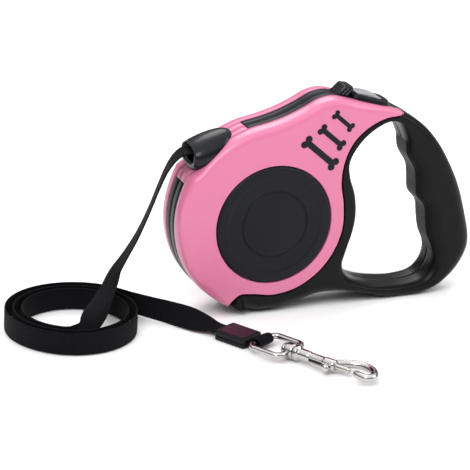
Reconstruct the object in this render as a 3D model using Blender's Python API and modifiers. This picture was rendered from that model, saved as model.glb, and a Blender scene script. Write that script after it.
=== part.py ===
"""Retractable tape leash: casing, handle, reel, brake, free tape and swivel bolt snap."""

from math import asin, cos, degrees, pi, radians, sin

import bmesh
import bpy
from mathutils import Matrix, Vector

MM = 0.001
GAP = 0.3  # between neighbouring pieces
SLIVER = 0.03  # points closer than this are one

# casing, mm: X toward the handle, Y away from the left cover, Z up
HUB = (-33.0, 50.1)  # X and Z of the reel axis
COVER_HALF = 15.0  # half thickness over the two pink covers
RIM_HALF = 14.6  # half thickness of the black rim beside the hand gap
CORE_HALF = 12.7  # half thickness of the black tub under the covers
BAND_HALF = 5.8  # half width of the black band round the edge
HANDLE_HALF = 11.5
HANDLE_ROUND = 2.6
TIP_X = 35.5  # the covers end here, over the handle
COVER_ROUND = 1.5
SKIN = 2.1  # cover wall
SEAM = 0.15  # each half stops this far from the middle plane
CAVITY_HALF = 10.7
CAVITY_R = 43.0
FRONT_R = 50.1  # the casing's front is an arc that opens by FRONT_OPENS as it climbs
FRONT_OPENS = 3.5
THINNING = ((8.6, 0.0), (16.0, 0.3), (25.0, 0.62), (34.0, 0.7))  # X and share lost

# hub cap and bones
CAP_R = 32.0
CAP_HALF = 15.6
CAP_STEP_R = 26.0
CAP_GROOVE_R = 18.0
BONES = (
    ("large", (-9.3, 87.6), 20.7, 1.7, 1.95),
    ("middle", (-3.1, 95.7), 14.9, 1.4, 1.65),
    ("small", (2.9, 104.1), 11.8, 1.15, 1.4),
)  # name, centre, distance between the two ends, shaft half width, lobe radius
BONE_TILT = radians(-40.5)

# tape
TAPE_W = 12.2
TAPE_T = 1.0

# reel
AXLE_R = 4.0
REEL_R = 41.0
ROLL_R = 32.0
DRUM_R = 14.0
TEETH = 24
TAPE_Y = -2.8  # middle of the wound tape
SPRING_CUP_R = 20.0

# brake
BUTTON_AT = (21.2, 110.4)
RIM_TILT = radians(-15.5)
LEVER_PIN = (-9.0, 104.5)

# free coil on the ground
COIL_AT = (-139.4, -7.5)
COIL_OUT = 35.6
COIL_IN = 26.4

# swivel snap, laid on the ground: its own x runs along the hook
SNAP_AT = (-43.5, -75.5)
SNAP_TURN = radians(-60.0)
SNAP_Z = 4.3


def clear():
    for obj in list(bpy.data.objects):
        bpy.data.objects.remove(obj)
    for mesh in list(bpy.data.meshes):
        bpy.data.meshes.remove(mesh)


def collection(name):
    made = bpy.data.collections.new(name)
    bpy.context.scene.collection.children.link(made)
    return made


def paint(obj, color, rough, metal=0.0):
    mat = bpy.data.materials.new(obj.name)
    mat.use_nodes = True
    shader = mat.node_tree.nodes["Principled BSDF"]
    shader.inputs["Base Color"].default_value = (*color, 1.0)
    shader.inputs["Roughness"].default_value = rough
    shader.inputs["Metallic"].default_value = metal
    obj.data.materials.clear()
    obj.data.materials.append(mat)


PINK = ((0.80, 0.24, 0.40), 0.35)
BLACK = ((0.02, 0.02, 0.024), 0.45)
RUBBER = ((0.015, 0.015, 0.018), 0.7)
GREY = ((0.25, 0.26, 0.27), 0.4)
WEB = ((0.012, 0.012, 0.016), 0.85)
WHITE = ((0.7, 0.7, 0.68), 0.4)
STEEL = ((0.55, 0.55, 0.55), 0.3, 1.0)
NICKEL = ((0.78, 0.76, 0.74), 0.12, 1.0)
MAROON = ((0.035, 0.008, 0.018), 0.4)


# ---------- outlines, mm ----------


def smooth(points, parts, closed=False):
    """Catmull-Rom through the points, each span in this many parts."""
    count = len(points)
    spans = count if closed else count - 1
    out = []
    for i in range(spans):
        if closed:
            p = [points[(i + k) % count] for k in (-1, 0, 1, 2)]
        else:
            p = [points[min(max(i + k, 0), count - 1)] for k in (-1, 0, 1, 2)]
        for step in range(parts):
            t = step / parts
            out.append(
                tuple(
                    0.5
                    * (
                        2 * p[1][a]
                        + (p[2][a] - p[0][a]) * t
                        + (2 * p[0][a] - 5 * p[1][a] + 4 * p[2][a] - p[3][a]) * t * t
                        + (3 * p[1][a] - p[0][a] - 3 * p[2][a] + p[3][a]) * t**3
                    )
                    for a in range(len(p[1]))
                )
            )
    if not closed:
        out.append(tuple(points[-1]))
    return out


def arc(centre, radius, start, end, count):
    """Points from one angle to another, in degrees from +X toward +Z."""
    return [
        (
            centre[0] + radius * cos(radians(start + (end - start) * i / count)),
            centre[1] + radius * sin(radians(start + (end - start) * i / count)),
        )
        for i in range(count + 1)
    ]


def grown(points, by):
    """The closed outline moved outward by this much, in mm."""
    area = sum(
        a[0] * b[1] - b[0] * a[1] for a, b in zip(points, points[1:] + points[:1])
    )
    side = by if area > 0 else -by
    out = []
    for i, p in enumerate(points):
        a, b = points[i - 1], points[(i + 1) % len(points)]
        one = Vector((p[0] - a[0], p[1] - a[1])).normalized()
        two = Vector((b[0] - p[0], b[1] - p[1])).normalized()
        mean = (one + two).normalized()
        reach = side / max(mean.dot(one), 0.6)
        out.append((p[0] + mean.y * reach, p[1] - mean.x * reach))
    return out


def front():
    """The casing's edge from under the front cover, clockwise up the front."""
    points = []
    for i in range(15):
        t = i / 14
        angle = radians(-118 - 94 * t)
        radius = FRONT_R + FRONT_OPENS * t
        points.append((HUB[0] + radius * cos(angle), HUB[1] + radius * sin(angle)))
    return points


def shoulder():
    """On from the front: the corner that carries the nozzle, then the hump up to the brake."""
    return smooth(
        (
            (-75.6, 80.6),
            (-67.7, 88.9),
            (-60.0, 94.9),
            (-53.6, 98.4),
            (-45.5, 101.5),
            (-36.0, 103.6),
            (-26.4, 106.4),
            (-16.7, 110.5),
            (-9.5, 114.2),
            (-2.3, 115.9),
            (4.0, 115.1),
            (12.0, 112.9),
            (20.0, 110.7),
            (30.0, 108.0),
        ),
        2,
    )


def under():
    """The lower edge, from the hand gap's front corner to the front."""
    web = smooth(
        ((28.0, 2.6), (19.7, 4.8), (8.0, 6.6), (-4.4, 6.0), (-16.0, 2.8), (-27.0, 0.0)), 2
    )
    return web + [(-39.0, 0.0)] + arc(HUB, FRONT_R, -101, -113, 2)


def outer():
    """The whole outer edge of casing and handle, clockwise from the front."""
    handle = smooth(
        (
            (38.6, 105.4),
            (48.3, 99.7),
            (57.7, 91.6),
            (66.8, 79.5),
            (76.0, 61.7),
            (82.0, 43.0),
            (84.9, 29.0),
            (82.9, 19.5),
            (76.5, 10.2),
            (67.0, 3.0),
            (57.0, 0.0),
        ),
        3,
    )
    return front() + shoulder() + handle + [(43.0, 0.0), (35.0, 1.2)] + under()


def hand_gap():
    rim = (
        (9.8, 22.0),
        (11.6, 31.5),
        (14.6, 41.0),
        (16.0, 51.0),
        (14.6, 62.0),
        (10.6, 73.0),
        (9.9, 81.5),
        (17.0, 91.3),
        (25.5, 97.5),
        (32.9, 99.9),
        (39.2, 96.6),
    )
    grip = (
        (43.6, 88.5),
        (45.2, 79.8),
        (50.3, 71.3),
        (51.6, 64.0),
        (52.6, 55.8),
        (57.6, 49.3),
        (59.0, 40.5),
        (60.6, 32.5),
        (63.9, 24.5),
    )
    bar = (
        (63.2, 16.0),
        (58.0, 9.0),
        (48.0, 6.8),
        (37.0, 7.1),
        (25.0, 9.2),
        (15.0, 14.0),
    )
    return smooth(rim + grip + bar, 3, closed=True)


def cover_inner():
    """The cover's lower edge, beside the black rim, from the handle tip back to the front."""
    return smooth(
        (
            (TIP_X, 103.1),
            (28.0, 102.2),
            (18.3, 98.1),
            (10.2, 91.2),
            (5.8, 81.5),
            (4.5, 70.1),
            (6.5, 57.5),
            (6.6, 44.5),
            (2.4, 32.0),
            (-5.8, 21.2),
            (-17.5, 13.4),
            (-31.0, 10.3),
            (-43.0, 11.8),
            (-50.0, 12.1),
            (-54.2, 9.3),
        ),
        2,
    )


def cover_top():
    return front() + shoulder() + [(TIP_X, 106.3)]


def cover_outline():
    return cover_top() + cover_inner()


def bone(spec, more=0.0):
    """A bone: a bar with two lobes at each end."""
    _, centre, apart, half, lobe = spec
    up = lobe * 0.95
    half += more
    radius = lobe + more
    first = 180.0 + degrees(asin((up - half) / radius))
    last = -degrees(asin(up / radius * 0.999))
    quarter = arc((apart / 2, up), radius, first, last, 5)
    right = quarter + [(x, -z) for x, z in reversed(quarter[:-1])]
    points = right + [(-x, -z) for x, z in right]
    c, s = cos(BONE_TILT), sin(BONE_TILT)
    return [(centre[0] + x * c - z * s, centre[1] + x * s + z * c) for x, z in points]


def moved(points, by):
    """An open line moved to the left of its run by this much."""
    out = []
    for i, p in enumerate(points):
        a, b = points[max(i - 1, 0)], points[min(i + 1, len(points) - 1)]
        run = Vector((b[0] - a[0], b[1] - a[1])).normalized()
        out.append((p[0] - run.y * by, p[1] + run.x * by))
    return out


def on_rim(s, n):
    """A point at s along and n above the rim at the brake button."""
    c, k = cos(RIM_TILT), sin(RIM_TILT)
    return (BUTTON_AT[0] + s * c - n * k, BUTTON_AT[1] + s * k + n * c)


# ---------- making solids ----------


def baked(obj, group):
    """The object's evaluated shape as a plain mesh object in world space."""
    bpy.context.view_layer.update()
    graph = bpy.context.evaluated_depsgraph_get()
    mesh = bpy.data.meshes.new_from_object(obj.evaluated_get(graph))
    mesh.transform(obj.matrix_world)
    name = obj.name
    data = obj.data
    is_curve = obj.type == "CURVE"
    bpy.data.objects.remove(obj)
    if is_curve:
        bpy.data.curves.remove(data)
    made = bpy.data.objects.new(name, mesh)
    group.objects.link(made)
    work = bmesh.new()
    work.from_mesh(mesh)
    bmesh.ops.remove_doubles(work, verts=work.verts, dist=2e-6)
    bmesh.ops.dissolve_degenerate(work, edges=work.edges, dist=1e-6)
    bmesh.ops.recalc_face_normals(work, faces=work.faces)
    if work.calc_volume(signed=True) < 0:
        bmesh.ops.reverse_faces(work, faces=work.faces)
    work.to_mesh(mesh)
    work.free()
    return made


def prism(name, outlines, y0, y1, edge=0.0, rounds=2):
    """Closed outlines in X and Z, between two Y planes, mm; an inner outline is a hole."""
    curve = bpy.data.curves.new(name, "CURVE")
    curve.dimensions = "2D"
    curve.fill_mode = "BOTH"
    curve.extrude = ((y1 - y0) / 2 - edge) * MM
    curve.bevel_depth = edge * MM
    curve.offset = -edge * MM
    curve.bevel_resolution = rounds - 1 if edge else 0
    for points in outlines:
        line = curve.splines.new("POLY")
        line.points.add(len(points) - 1)
        line.use_cyclic_u = True
        for spot, (x, z) in zip(line.points, points):
            spot.co = (x * MM, z * MM, 0.0, 1.0)
    obj = bpy.data.objects.new(name, curve)
    obj.rotation_euler = (pi / 2, 0.0, 0.0)
    obj.location = (0.0, (y0 + y1) / 2 * MM, 0.0)
    PARTS.objects.link(obj)
    return baked(obj, PARTS)


def box(name, size, centre, turn=0.0):
    """A box in mm, turned about Y by this much at its centre."""
    x, y, z = (s / 2 for s in size)
    c, s = cos(turn), sin(turn)
    corners = [(-x, -z), (x, -z), (x, z), (-x, z)]
    outline = [
        (centre[0] + a * c - b * s, centre[2] + a * s + b * c) for a, b in corners
    ]
    return prism(name, [outline], centre[1] - y, centre[1] + y)


def turned(name, profile, at=(0.0, 0.0, 0.0), axis="Y", steps=48, whole=True):
    """A profile of (radius, height) in mm, outer side from top to bottom, turned round an axis.
    Height runs along +Y, +Z or +X from the given point."""
    mesh = bpy.data.meshes.new(name)
    rows = [(r * MM, 0.0, h * MM) for r, h in profile]
    count = len(rows)
    edges = [(i, i + 1) for i in range(count - 1)]
    if whole:
        edges.append((count - 1, 0))
    mesh.from_pydata(rows, edges, [])
    obj = bpy.data.objects.new(name, mesh)
    screw = obj.modifiers.new("turn", "SCREW")
    screw.steps = steps
    screw.render_steps = steps
    screw.use_merge_vertices = True
    screw.merge_threshold = 0.00002
    screw.use_normal_calculate = True
    turn = {"Y": (-pi / 2, 0, 0), "Z": (0, 0, 0), "X": (0, pi / 2, 0)}[axis]
    obj.rotation_euler = turn
    obj.location = Vector(at) * MM
    PARTS.objects.link(obj)
    return baked(obj, PARTS)


def wire(name, points, radius, rounds=2, closed=False):
    """A round rod along points in mm."""
    curve = bpy.data.curves.new(name, "CURVE")
    curve.dimensions = "3D"
    curve.bevel_depth = radius * MM
    curve.bevel_resolution = rounds
    curve.use_fill_caps = True
    line = curve.splines.new("POLY")
    line.points.add(len(points) - 1)
    line.use_cyclic_u = closed
    for spot, p in zip(line.points, points):
        spot.co = (p[0] * MM, p[1] * MM, p[2] * MM, 1.0)
    obj = bpy.data.objects.new(name, curve)
    PARTS.objects.link(obj)
    return baked(obj, PARTS)


def loft(name, rings):
    """A closed skin over rings of the same number of points, in mm."""
    verts = [Vector(p) * MM for ring in rings for p in ring]
    count = len(rings[0])
    faces = []
    for r in range(len(rings) - 1):
        for i in range(count):
            j = (i + 1) % count
            faces.append((r * count + i, r * count + j, (r + 1) * count + j, (r + 1) * count + i))
    faces.append(tuple(range(count)))
    faces.append(tuple(reversed(range(len(verts) - count, len(verts)))))
    mesh = bpy.data.meshes.new(name)
    mesh.from_pydata(verts, [], faces)
    obj = bpy.data.objects.new(name, mesh)
    PARTS.objects.link(obj)
    return baked(obj, PARTS)


def ribbon(name, points, sides, width, thick):
    """A flat tape along points, its width along each given side direction."""
    rings = []
    for i, p in enumerate(points):
        here = Vector(p)
        ahead = Vector(points[min(i + 1, len(points) - 1)])
        behind = Vector(points[max(i - 1, 0)])
        run = (ahead - behind).normalized()
        side = Vector(sides[i])
        side = (side - run * side.dot(run)).normalized()
        flat = run.cross(side)
        a, b = side * width / 2, flat * thick / 2
        rings.append([here - a - b, here + a - b, here + a + b, here - a + b])
    return loft(name, rings)


def solve(target, other, operation):
    change = target.modifiers.new(operation, "BOOLEAN")
    change.operation = operation
    change.solver = "EXACT"
    change.object = other
    made = baked(target, PARTS)
    bpy.data.objects.remove(other)
    return made


def minus(target, *others):
    for other in others:
        target = solve(target, other, "DIFFERENCE")
    return target


def plus(target, *others):
    for other in others:
        target = solve(target, other, "UNION")
    return target


def keep(target, other):
    return solve(target, other, "INTERSECT")


def copy_of(obj, name):
    made = bpy.data.objects.new(name, obj.data.copy())
    PARTS.objects.link(made)
    return made


def mirrored(obj, name):
    """The same piece on the other side of the middle plane."""
    made = copy_of(obj, name)
    made.data.transform(Matrix.Scale(-1.0, 4, Vector((0, 1, 0))))
    made.data.flip_normals()
    return made


def placed(obj, matrix):
    obj.data.transform(matrix)
    return obj


def thin(obj):
    """Narrows the casing toward the handle: what stands out beyond the handle's own
    thickness shrinks along X, straight between a few planes that are cut first."""
    work = bmesh.new()
    work.from_mesh(obj.data)
    for x, _ in THINNING:
        bmesh.ops.bisect_plane(
            work,
            geom=work.verts[:] + work.edges[:] + work.faces[:],
            dist=1e-7,
            plane_co=(x * MM, 0, 0),
            plane_no=(1, 0, 0),
        )
    bmesh.ops.remove_doubles(work, verts=work.verts, dist=SLIVER * MM)
    bmesh.ops.triangulate(work, faces=work.faces)
    for vert in work.verts:
        extra = abs(vert.co.y) / MM - HANDLE_HALF
        if extra > 0:
            less = extra * between(vert.co.x / MM, THINNING)
            vert.co.y -= less * MM if vert.co.y > 0 else -less * MM
    work.to_mesh(obj.data)
    work.free()
    return obj


def between(x, table):
    """Straight interpolation in a table of pairs."""
    if x <= table[0][0]:
        return table[0][1]
    for (x0, v0), (x1, v1) in zip(table, table[1:]):
        if x <= x1:
            return v0 + (v1 - v0) * (x - x0) / (x1 - x0)
    return table[-1][1]


def finish(obj, look, origin=None):
    """Sets the origin on the joint axis and the material."""
    if origin is not None:
        spot = Vector(origin) * MM
        obj.data.transform(Matrix.Translation(-spot))
        obj.location = spot
    paint(obj, *look)
    return obj


clear()
PARTS = collection("retractable_leash")

# ---------- casing ----------


def cavity():
    """The room inside the casing: round the reel, out to the nozzle and under the brake."""
    top = (
        (-72.5, 76.5),
        (-66.0, 83.5),
        (-57.0, 90.5),
        (-46.0, 96.0),
        (-27.0, 101.0),
        (-14.0, 106.5),
        (-3.0, 110.5),
        (8.0, 108.5),
        (24.0, 104.0),
        (26.0, 102.0),
        (16.0, 96.3),
        (8.5, 89.5),
        (4.8, 82.5),
        (3.4, 76.5),
    )
    around = arc(HUB, CAVITY_R, 32, -194, 30)
    return around + smooth(top, 1)


def rim_outline():
    """The black rim beside the cover and the web under it."""
    gap = hand_gap()
    top, corner = 3 * 9, 3 * 24  # where the rim side of the gap begins and ends
    beside = gap[top::-1] + gap[: corner - 1 : -1]
    back = list(reversed(moved(cover_inner()[1:-3], -3.0)))
    return beside + under() + [front()[0]] + back + [(36.5, 104.0)]


def casing():
    """Both black halves, before they are parted."""
    body = prism(
        "body", [outer(), hand_gap()], -HANDLE_HALF, HANDLE_HALF, HANDLE_ROUND, 2
    )
    body = plus(body, prism("rim", [rim_outline()], -RIM_HALF, RIM_HALF, 1.0, 1))
    tip = [(TIP_X + GAP, 111.0), (TIP_X + GAP, 103.1 - GAP)]
    away = moved(cover_top(), 7.0) + tip + moved(cover_inner(), GAP)[1:]
    body = minus(
        body,
        prism("over_left", [away], -20.0, -BAND_HALF),
        prism("over_right", [away], BAND_HALF, 20.0),
    )
    core = moved(cover_top(), -SKIN - GAP) + moved(cover_inner(), 2.2)
    body = plus(body, prism("core", [core], -CORE_HALF, CORE_HALF))
    body = minus(
        body,
        box("parting", (400, 2 * SEAM, 400), (0, 0, 0)),
        prism("room", [cavity()], -CAVITY_HALF, CAVITY_HALF),
    )
    for x, z in INNER_POSTS:
        body = plus(body, post(x, z, 4.2, -CAVITY_HALF - 0.5, CAVITY_HALF + 0.5))
    body = minus(
        body,
        post(*HUB, AXLE_R + 0.15, -20, 20, 32),
        slot("slot_in", 0.0),
        prism("grip_seat", [grown(grip_side(), GAP)], -20, 20),
        wire("upper_room", UPPER_ROOM, 4.2, 1),
        wire("lower_room", LOWER_ROOM, 4.2, 1),
        prism("bezel_seat", [grown(bezel_side(), GAP)], -8.0 - GAP, 8.0 + GAP),
        prism(
            "button_well",
            [[on_rim(-10.0, 1.0), on_rim(10.0, 1.0), on_rim(10.0, -9.0), on_rim(-10.0, -9.0)]],
            -6.2,
            6.2,
        ),
        prism("lock_slot", [lock_slot()], -2.0, 2.0),
    )
    return body


def post(x, z, radius, y0, y1, count=16):
    ring = [
        (x + radius * cos(2 * pi * i / count), z + radius * sin(2 * pi * i / count))
        for i in range(count)
    ]
    return prism("post", [ring], y0, y1)


def slot(name, more):
    """The tape's way out, from the casing through the nozzle."""
    return box(name, (34.0, TAPE_W + 1.4, 6.0 + more), (-66.5, 0.0, 88.6), radians(-8.5))


def grip_side():
    """The region of the handle that the soft grip takes."""
    return [
        (36.0, 90.0),
        (48.8, 91.0),
        (51.5, 82.0),
        (56.5, 73.5),
        (58.6, 62.0),
        (60.0, 56.0),
        (65.0, 45.0),
        (66.6, 35.0),
        (70.4, 25.0),
        (69.6, 19.6),
        (50.0, 22.0),
        (40.0, 50.0),
    ]


def bezel_side():
    left, right = -10.6, 12.4
    return [
        on_rim(left, -1.9),
        on_rim(right, -1.9),
        on_rim(right + 0.3, 0.6),
        on_rim(right - 1.0, 2.0),
        on_rim(right - 5.0, 2.7),
        on_rim(left + 1.0, 2.9),
        on_rim(left, 2.2),
    ]


def lock_slot():
    return [(0.2, 118.0), (0.2, 106.0), (8.6, 104.0), (8.6, 118.0)]


UPPER_ROOM = [(56.5, 86.0, 0), (61.0, 80.0, 0), (64.5, 73.0, 0), (67.5, 65.0, 0), (69.5, 58.0, 0)]
LOWER_ROOM = [(73.2, 42.0, 0), (75.0, 34.0, 0), (76.6, 28.0, 0), (76.0, 22.0, 0)]
INNER_POSTS = ((-20.0, 99.6),)
# x, z, outside of the far half there, and how deep the head sits
SCREWS = (
    (71.5, 50.0, 11.5, 6.0),
    (71.0, 12.6, 11.5, 6.0),
    (3.0, 14.5, 14.6, 8.0),
    (-20.0, 99.6, 12.7, 9.0),
    (-77.0, 34.0, 12.7, 9.0),
)
HEAD_R = 2.4
SHANK_R = 1.2
SHANK_END = -7.0


def build_casing():
    both = casing()
    left = keep(copy_of(both, "housing_left"), box("half", (400, 40, 400), (0, -20 - SEAM, 0)))
    right = keep(copy_of(both, "housing_right"), box("half", (400, 40, 400), (0, 20 + SEAM, 0)))
    bpy.data.objects.remove(both)
    for x, z, out, seat in SCREWS:
        right = minus(right, post(x, z, HEAD_R + GAP, seat - 1.7, out + 5.0), post(x, z, SHANK_R + GAP, -1, seat))
        left = minus(left, post(x, z, SHANK_R + 0.1, SHANK_END - GAP, 1))
    right = minus(right, post(*LEVER_PIN, 1.6, 4.0, 20.0, 16))
    finish(thin(left), BLACK)
    finish(thin(right), BLACK)
    for i, (x, z, _, seat) in enumerate(SCREWS):
        profile = [
            (0.0, seat - 0.7),
            (1.1, seat),
            (HEAD_R, seat - 0.5),
            (HEAD_R, seat - 1.6),
            (SHANK_R, seat - 1.6),
            (SHANK_R, SHANK_END + 1.0),
            (0.3, SHANK_END),
            (0.0, SHANK_END),
        ]
        screw = turned(f"casing_screw_{i + 1}", profile, (x, 0, z), "Y", 10)
        finish(screw, STEEL)


def build_covers():
    cover = prism("cover", [cover_outline()], -COVER_HALF, 5.0, COVER_ROUND, 2)
    pocket = moved(cover_top(), -SKIN) + moved(cover_inner(), 3.2)
    cover = minus(
        cover,
        box("inside", (400, 40, 400), (0, 20 - BAND_HALF - 0.15, 0)),
        prism("pocket", [pocket], -CORE_HALF - GAP, 2.0),
        post(*HUB, CAP_R + GAP, -20, 0, 40),
        slot("slot_cover", 0.0),
        prism("bezel_room", [grown(bezel_side(), GAP)], -8.0 - GAP, 8.0 + GAP),
    )
    left = thin(cover)
    for spec in BONES:
        left = minus(left, prism("window", [bone(spec, GAP)], -20, 0))
    left.name = "cover_left"
    finish(mirrored(left, "cover_right"), PINK)
    finish(left, PINK)
    for side, sign in (("left", -1), ("right", 1)):
        for spec in BONES:
            name = f"bone_{spec[0]}_{side}"
            inner, out = CORE_HALF + GAP, COVER_HALF - 0.1
            made = prism(name, [bone(spec)], min(sign * inner, sign * out), max(sign * inner, sign * out))
            finish(thin(made), BLACK)
        profile = [
            (0.0, CAP_HALF - 0.4),
            (CAP_GROOVE_R - 0.5, CAP_HALF - 0.4),
            (CAP_GROOVE_R - 0.3, CAP_HALF - 0.8),
            (CAP_GROOVE_R + 0.3, CAP_HALF - 0.8),
            (CAP_GROOVE_R + 0.5, CAP_HALF - 0.4),
            (CAP_STEP_R - 0.4, CAP_HALF - 0.4),
            (CAP_STEP_R, CAP_HALF),
            (CAP_R - 0.8, CAP_HALF),
            (CAP_R, CAP_HALF - 0.8),
            (CAP_R, CORE_HALF + GAP),
            (0.0, CORE_HALF + GAP),
        ]
        cap = turned(f"hub_cap_{side}", profile, (HUB[0], 0, HUB[1]), "Y", 40)
        if sign < 0:
            flip = cap
            cap = mirrored(flip, "flipped")
            bpy.data.objects.remove(flip)
            cap.name = f"hub_cap_{side}"
        finish(cap, BLACK)


def build_grip():
    handle = prism(
        "grip_insert", [outer(), hand_gap()], -HANDLE_HALF, HANDLE_HALF, HANDLE_ROUND, 2
    )
    grip = keep(handle, prism("grip_region", [grip_side()], -20, 20))
    finish(grip, RUBBER)


def build_nozzle():
    sections = (
        (-76.9, 87.2, 6.2, 10.3),
        (-76.4, 87.2, 6.7, 10.9),
        (-73.5, 87.4, 8.0, 12.0),
        (-68.0, 88.4, 9.4, 12.3),
        (-62.0, 90.0, 9.6, 11.2),
        (-57.0, 92.0, 8.0, 8.8),
        (-53.2, 94.5, 5.0, 4.6),
    )
    rings = []
    for x, z, high, wide in sections:
        ring = []
        for i in range(20):
            a = 2 * pi * i / 20
            ring.append((x, wide * cos(a), z + high * sin(a)))
        rings.append(ring)
    nozzle = loft("nozzle", rings)
    nozzle = minus(
        nozzle, prism("casing_space", [grown(outer(), GAP)], -20, 20), slot("slot_nozzle", 0.0)
    )
    finish(nozzle, BLACK)


# ---------- brake and lock ----------


def build_brake():
    bezel = prism("button_bezel", [bezel_side()], -8.0, 8.0, 0.8, 1)
    bezel = minus(
        bezel,
        prism(
            "button_hole",
            [[on_rim(-8.6, 6.0), on_rim(8.6, 6.0), on_rim(8.6, -4.0), on_rim(-8.6, -4.0)]],
            -4.9,
            4.9,
        ),
    )
    finish(bezel, BLACK)
    crown = [on_rim(-8.3 + 16.6 * i / 10, 4.2 - 2.2 * ((i - 4) / 6) ** 2) for i in range(11)]
    button = prism("brake_button", [crown + [on_rim(8.3, -3.0), on_rim(-8.3, -3.0)]], -4.6, 4.6, 0.6, 1)
    flange = [on_rim(-9.6, -2.6), on_rim(9.6, -2.6), on_rim(9.6, -4.0), on_rim(-9.6, -4.0)]
    stem = [on_rim(-2.5, -3.5), on_rim(0.5, -3.5), on_rim(0.5, -7.0), on_rim(-2.5, -7.0)]
    button = plus(button, prism("flange", [flange], -5.8, 5.8), prism("stem", [stem], 2.4, 5.6))
    finish(button, GREY, (BUTTON_AT[0], 0, BUTTON_AT[1]))
    lever = [
        (LEVER_PIN[0] - 3.4, LEVER_PIN[1] + 0.5),
        (LEVER_PIN[0] - 2.2, LEVER_PIN[1] + 2.8),
        (LEVER_PIN[0] + 1.5, LEVER_PIN[1] + 3.2),
        (LEVER_PIN[0] + 14.0, LEVER_PIN[1] + 1.4),
        (LEVER_PIN[0] + 27.0, LEVER_PIN[1] - 0.9),
        (LEVER_PIN[0] + 29.5, LEVER_PIN[1] - 1.3),
        (LEVER_PIN[0] + 29.5, LEVER_PIN[1] - 2.7),
        (LEVER_PIN[0] + 16.0, LEVER_PIN[1] - 2.6),
        (LEVER_PIN[0] + 6.4, LEVER_PIN[1] - 4.0),
        (LEVER_PIN[0] + 5.4, LEVER_PIN[1] - 20.5),
        (LEVER_PIN[0] + 4.0, LEVER_PIN[1] - 23.1),
        (LEVER_PIN[0] + 2.8, LEVER_PIN[1] - 21.5),
        (LEVER_PIN[0] + 1.4, LEVER_PIN[1] - 5.0),
        (LEVER_PIN[0] - 2.2, LEVER_PIN[1] - 2.6),
    ]
    arm = minus(prism("brake_lever", [lever], 2.4, 5.4), post(*LEVER_PIN, 1.75, 0, 10, 16))
    finish(arm, WHITE, (LEVER_PIN[0], 4.0, LEVER_PIN[1]))
    pin = turned(
        "lever_pin",
        [(0, 12.4), (1.2, 12.4), (1.5, 12.0), (1.5, 2.0), (2.6, 2.0), (2.6, 1.2), (0, 1.2)],
        (LEVER_PIN[0], 0, LEVER_PIN[1]),
        "Y",
        16,
    )
    finish(pin, STEEL)
    turns, radius, low, high = 2.5, 1.6, 98.7, 100.8
    coil = [
        (
            17.0 + radius * cos(2 * pi * turns * i / 24),
            4.0 + radius * sin(2 * pi * turns * i / 24),
            low + (high - low) * i / 24,
        )
        for i in range(25)
    ]
    finish(wire("brake_spring", coil, 0.3, 0), STEEL)
    block = [(2.6, 115.7), (7.3, 119.9), (11.9, 119.1), (12.0, 117.9), (9.8, 114.0)]
    lock = prism("lock_slider", [block], -5.4, 5.4, 0.5, 1)
    lock = plus(lock, prism("foot", [[(3.4, 116.0), (3.4, 109.0), (8.0, 108.0), (8.0, 116.0)]], -1.6, 1.6))
    finish(lock, BLACK, (7.0, 0, 116.0))


# ---------- reel ----------


def build_reel():
    at = (HUB[0], 0, HUB[1])
    bore = AXLE_R + GAP
    profile = [
        (bore, 4.6),
        (18.6, 4.6),
        (18.6, 9.6),
        (SPRING_CUP_R, 9.6),
        (SPRING_CUP_R, 4.6),
        (38.0, 4.6),
        (38.0, 3.6),
        (DRUM_R, 3.6),
        (DRUM_R, -9.1),
        (REEL_R, -9.1),
        (REEL_R, -10.2),
        (bore, -10.2),
    ]
    reel = turned("reel", profile, at, "Y", 32)
    teeth = []
    phase = radians(48.5)
    for i in range(TEETH):
        a = phase + 2 * pi * (i + 0.3) / TEETH
        b = phase + 2 * pi * (i + 0.42) / TEETH
        c = phase + 2 * pi * (i + 0.98) / TEETH
        for angle, radius in ((a, REEL_R - 2.0), (b, REEL_R), (c, REEL_R - 2.0)):
            teeth.append((HUB[0] + radius * cos(angle), HUB[1] + radius * sin(angle)))
    ring = [(HUB[0] + 36.0 * cos(2 * pi * i / 32), HUB[1] + 36.0 * sin(2 * pi * i / 32)) for i in range(32)]
    reel = plus(reel, prism("ratchet", [teeth, ring], 3.5, 4.7))
    finish(reel, WHITE, at)
    roll = turned(
        "tape_wound",
        [
            (ROLL_R, TAPE_Y + TAPE_W / 2),
            (ROLL_R, TAPE_Y - TAPE_W / 2),
            (DRUM_R + GAP, TAPE_Y - TAPE_W / 2),
            (DRUM_R + GAP, TAPE_Y + TAPE_W / 2),
        ],
        at,
        "Y",
        32,
    )
    finish(roll, WEB, at)
    axle = turned(
        "axle",
        [(0, 12.5), (3.4, 12.5), (AXLE_R, 11.9), (AXLE_R, -11.9), (3.4, -12.5), (0, -12.5)],
        at,
        "Y",
        16,
    )
    finish(axle, STEEL)
    turns, inner, out, count = 3.5, 5.2, 17.4, 45
    line = []
    for i in range(count + 1):
        a = 2 * pi * turns * i / count
        r = inner + (out - inner) * i / count
        line.append((HUB[0] + r * cos(a), HUB[1] + r * sin(a)))
    strip = moved(line, 0.25) + list(reversed(moved(line, -0.25)))
    finish(prism("mainspring", [strip], 5.0, 9.4), STEEL)
    lid = turned(
        "spring_cover",
        [(SPRING_CUP_R, 10.4), (SPRING_CUP_R, 9.9), (bore + 0.2, 9.9), (bore + 0.2, 10.4)],
        at,
        "Y",
        32,
    )
    finish(lid, WHITE, at)


# ---------- free tape ----------

FEED = (
    (-28.6, TAPE_Y, 83.0),
    (-40.0, TAPE_Y, 84.7),
    (-53.0, TAPE_Y, 86.6),
    (-59.5, -0.5, 87.6),
    (-65.4, 0.0, 88.5),
)
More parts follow.
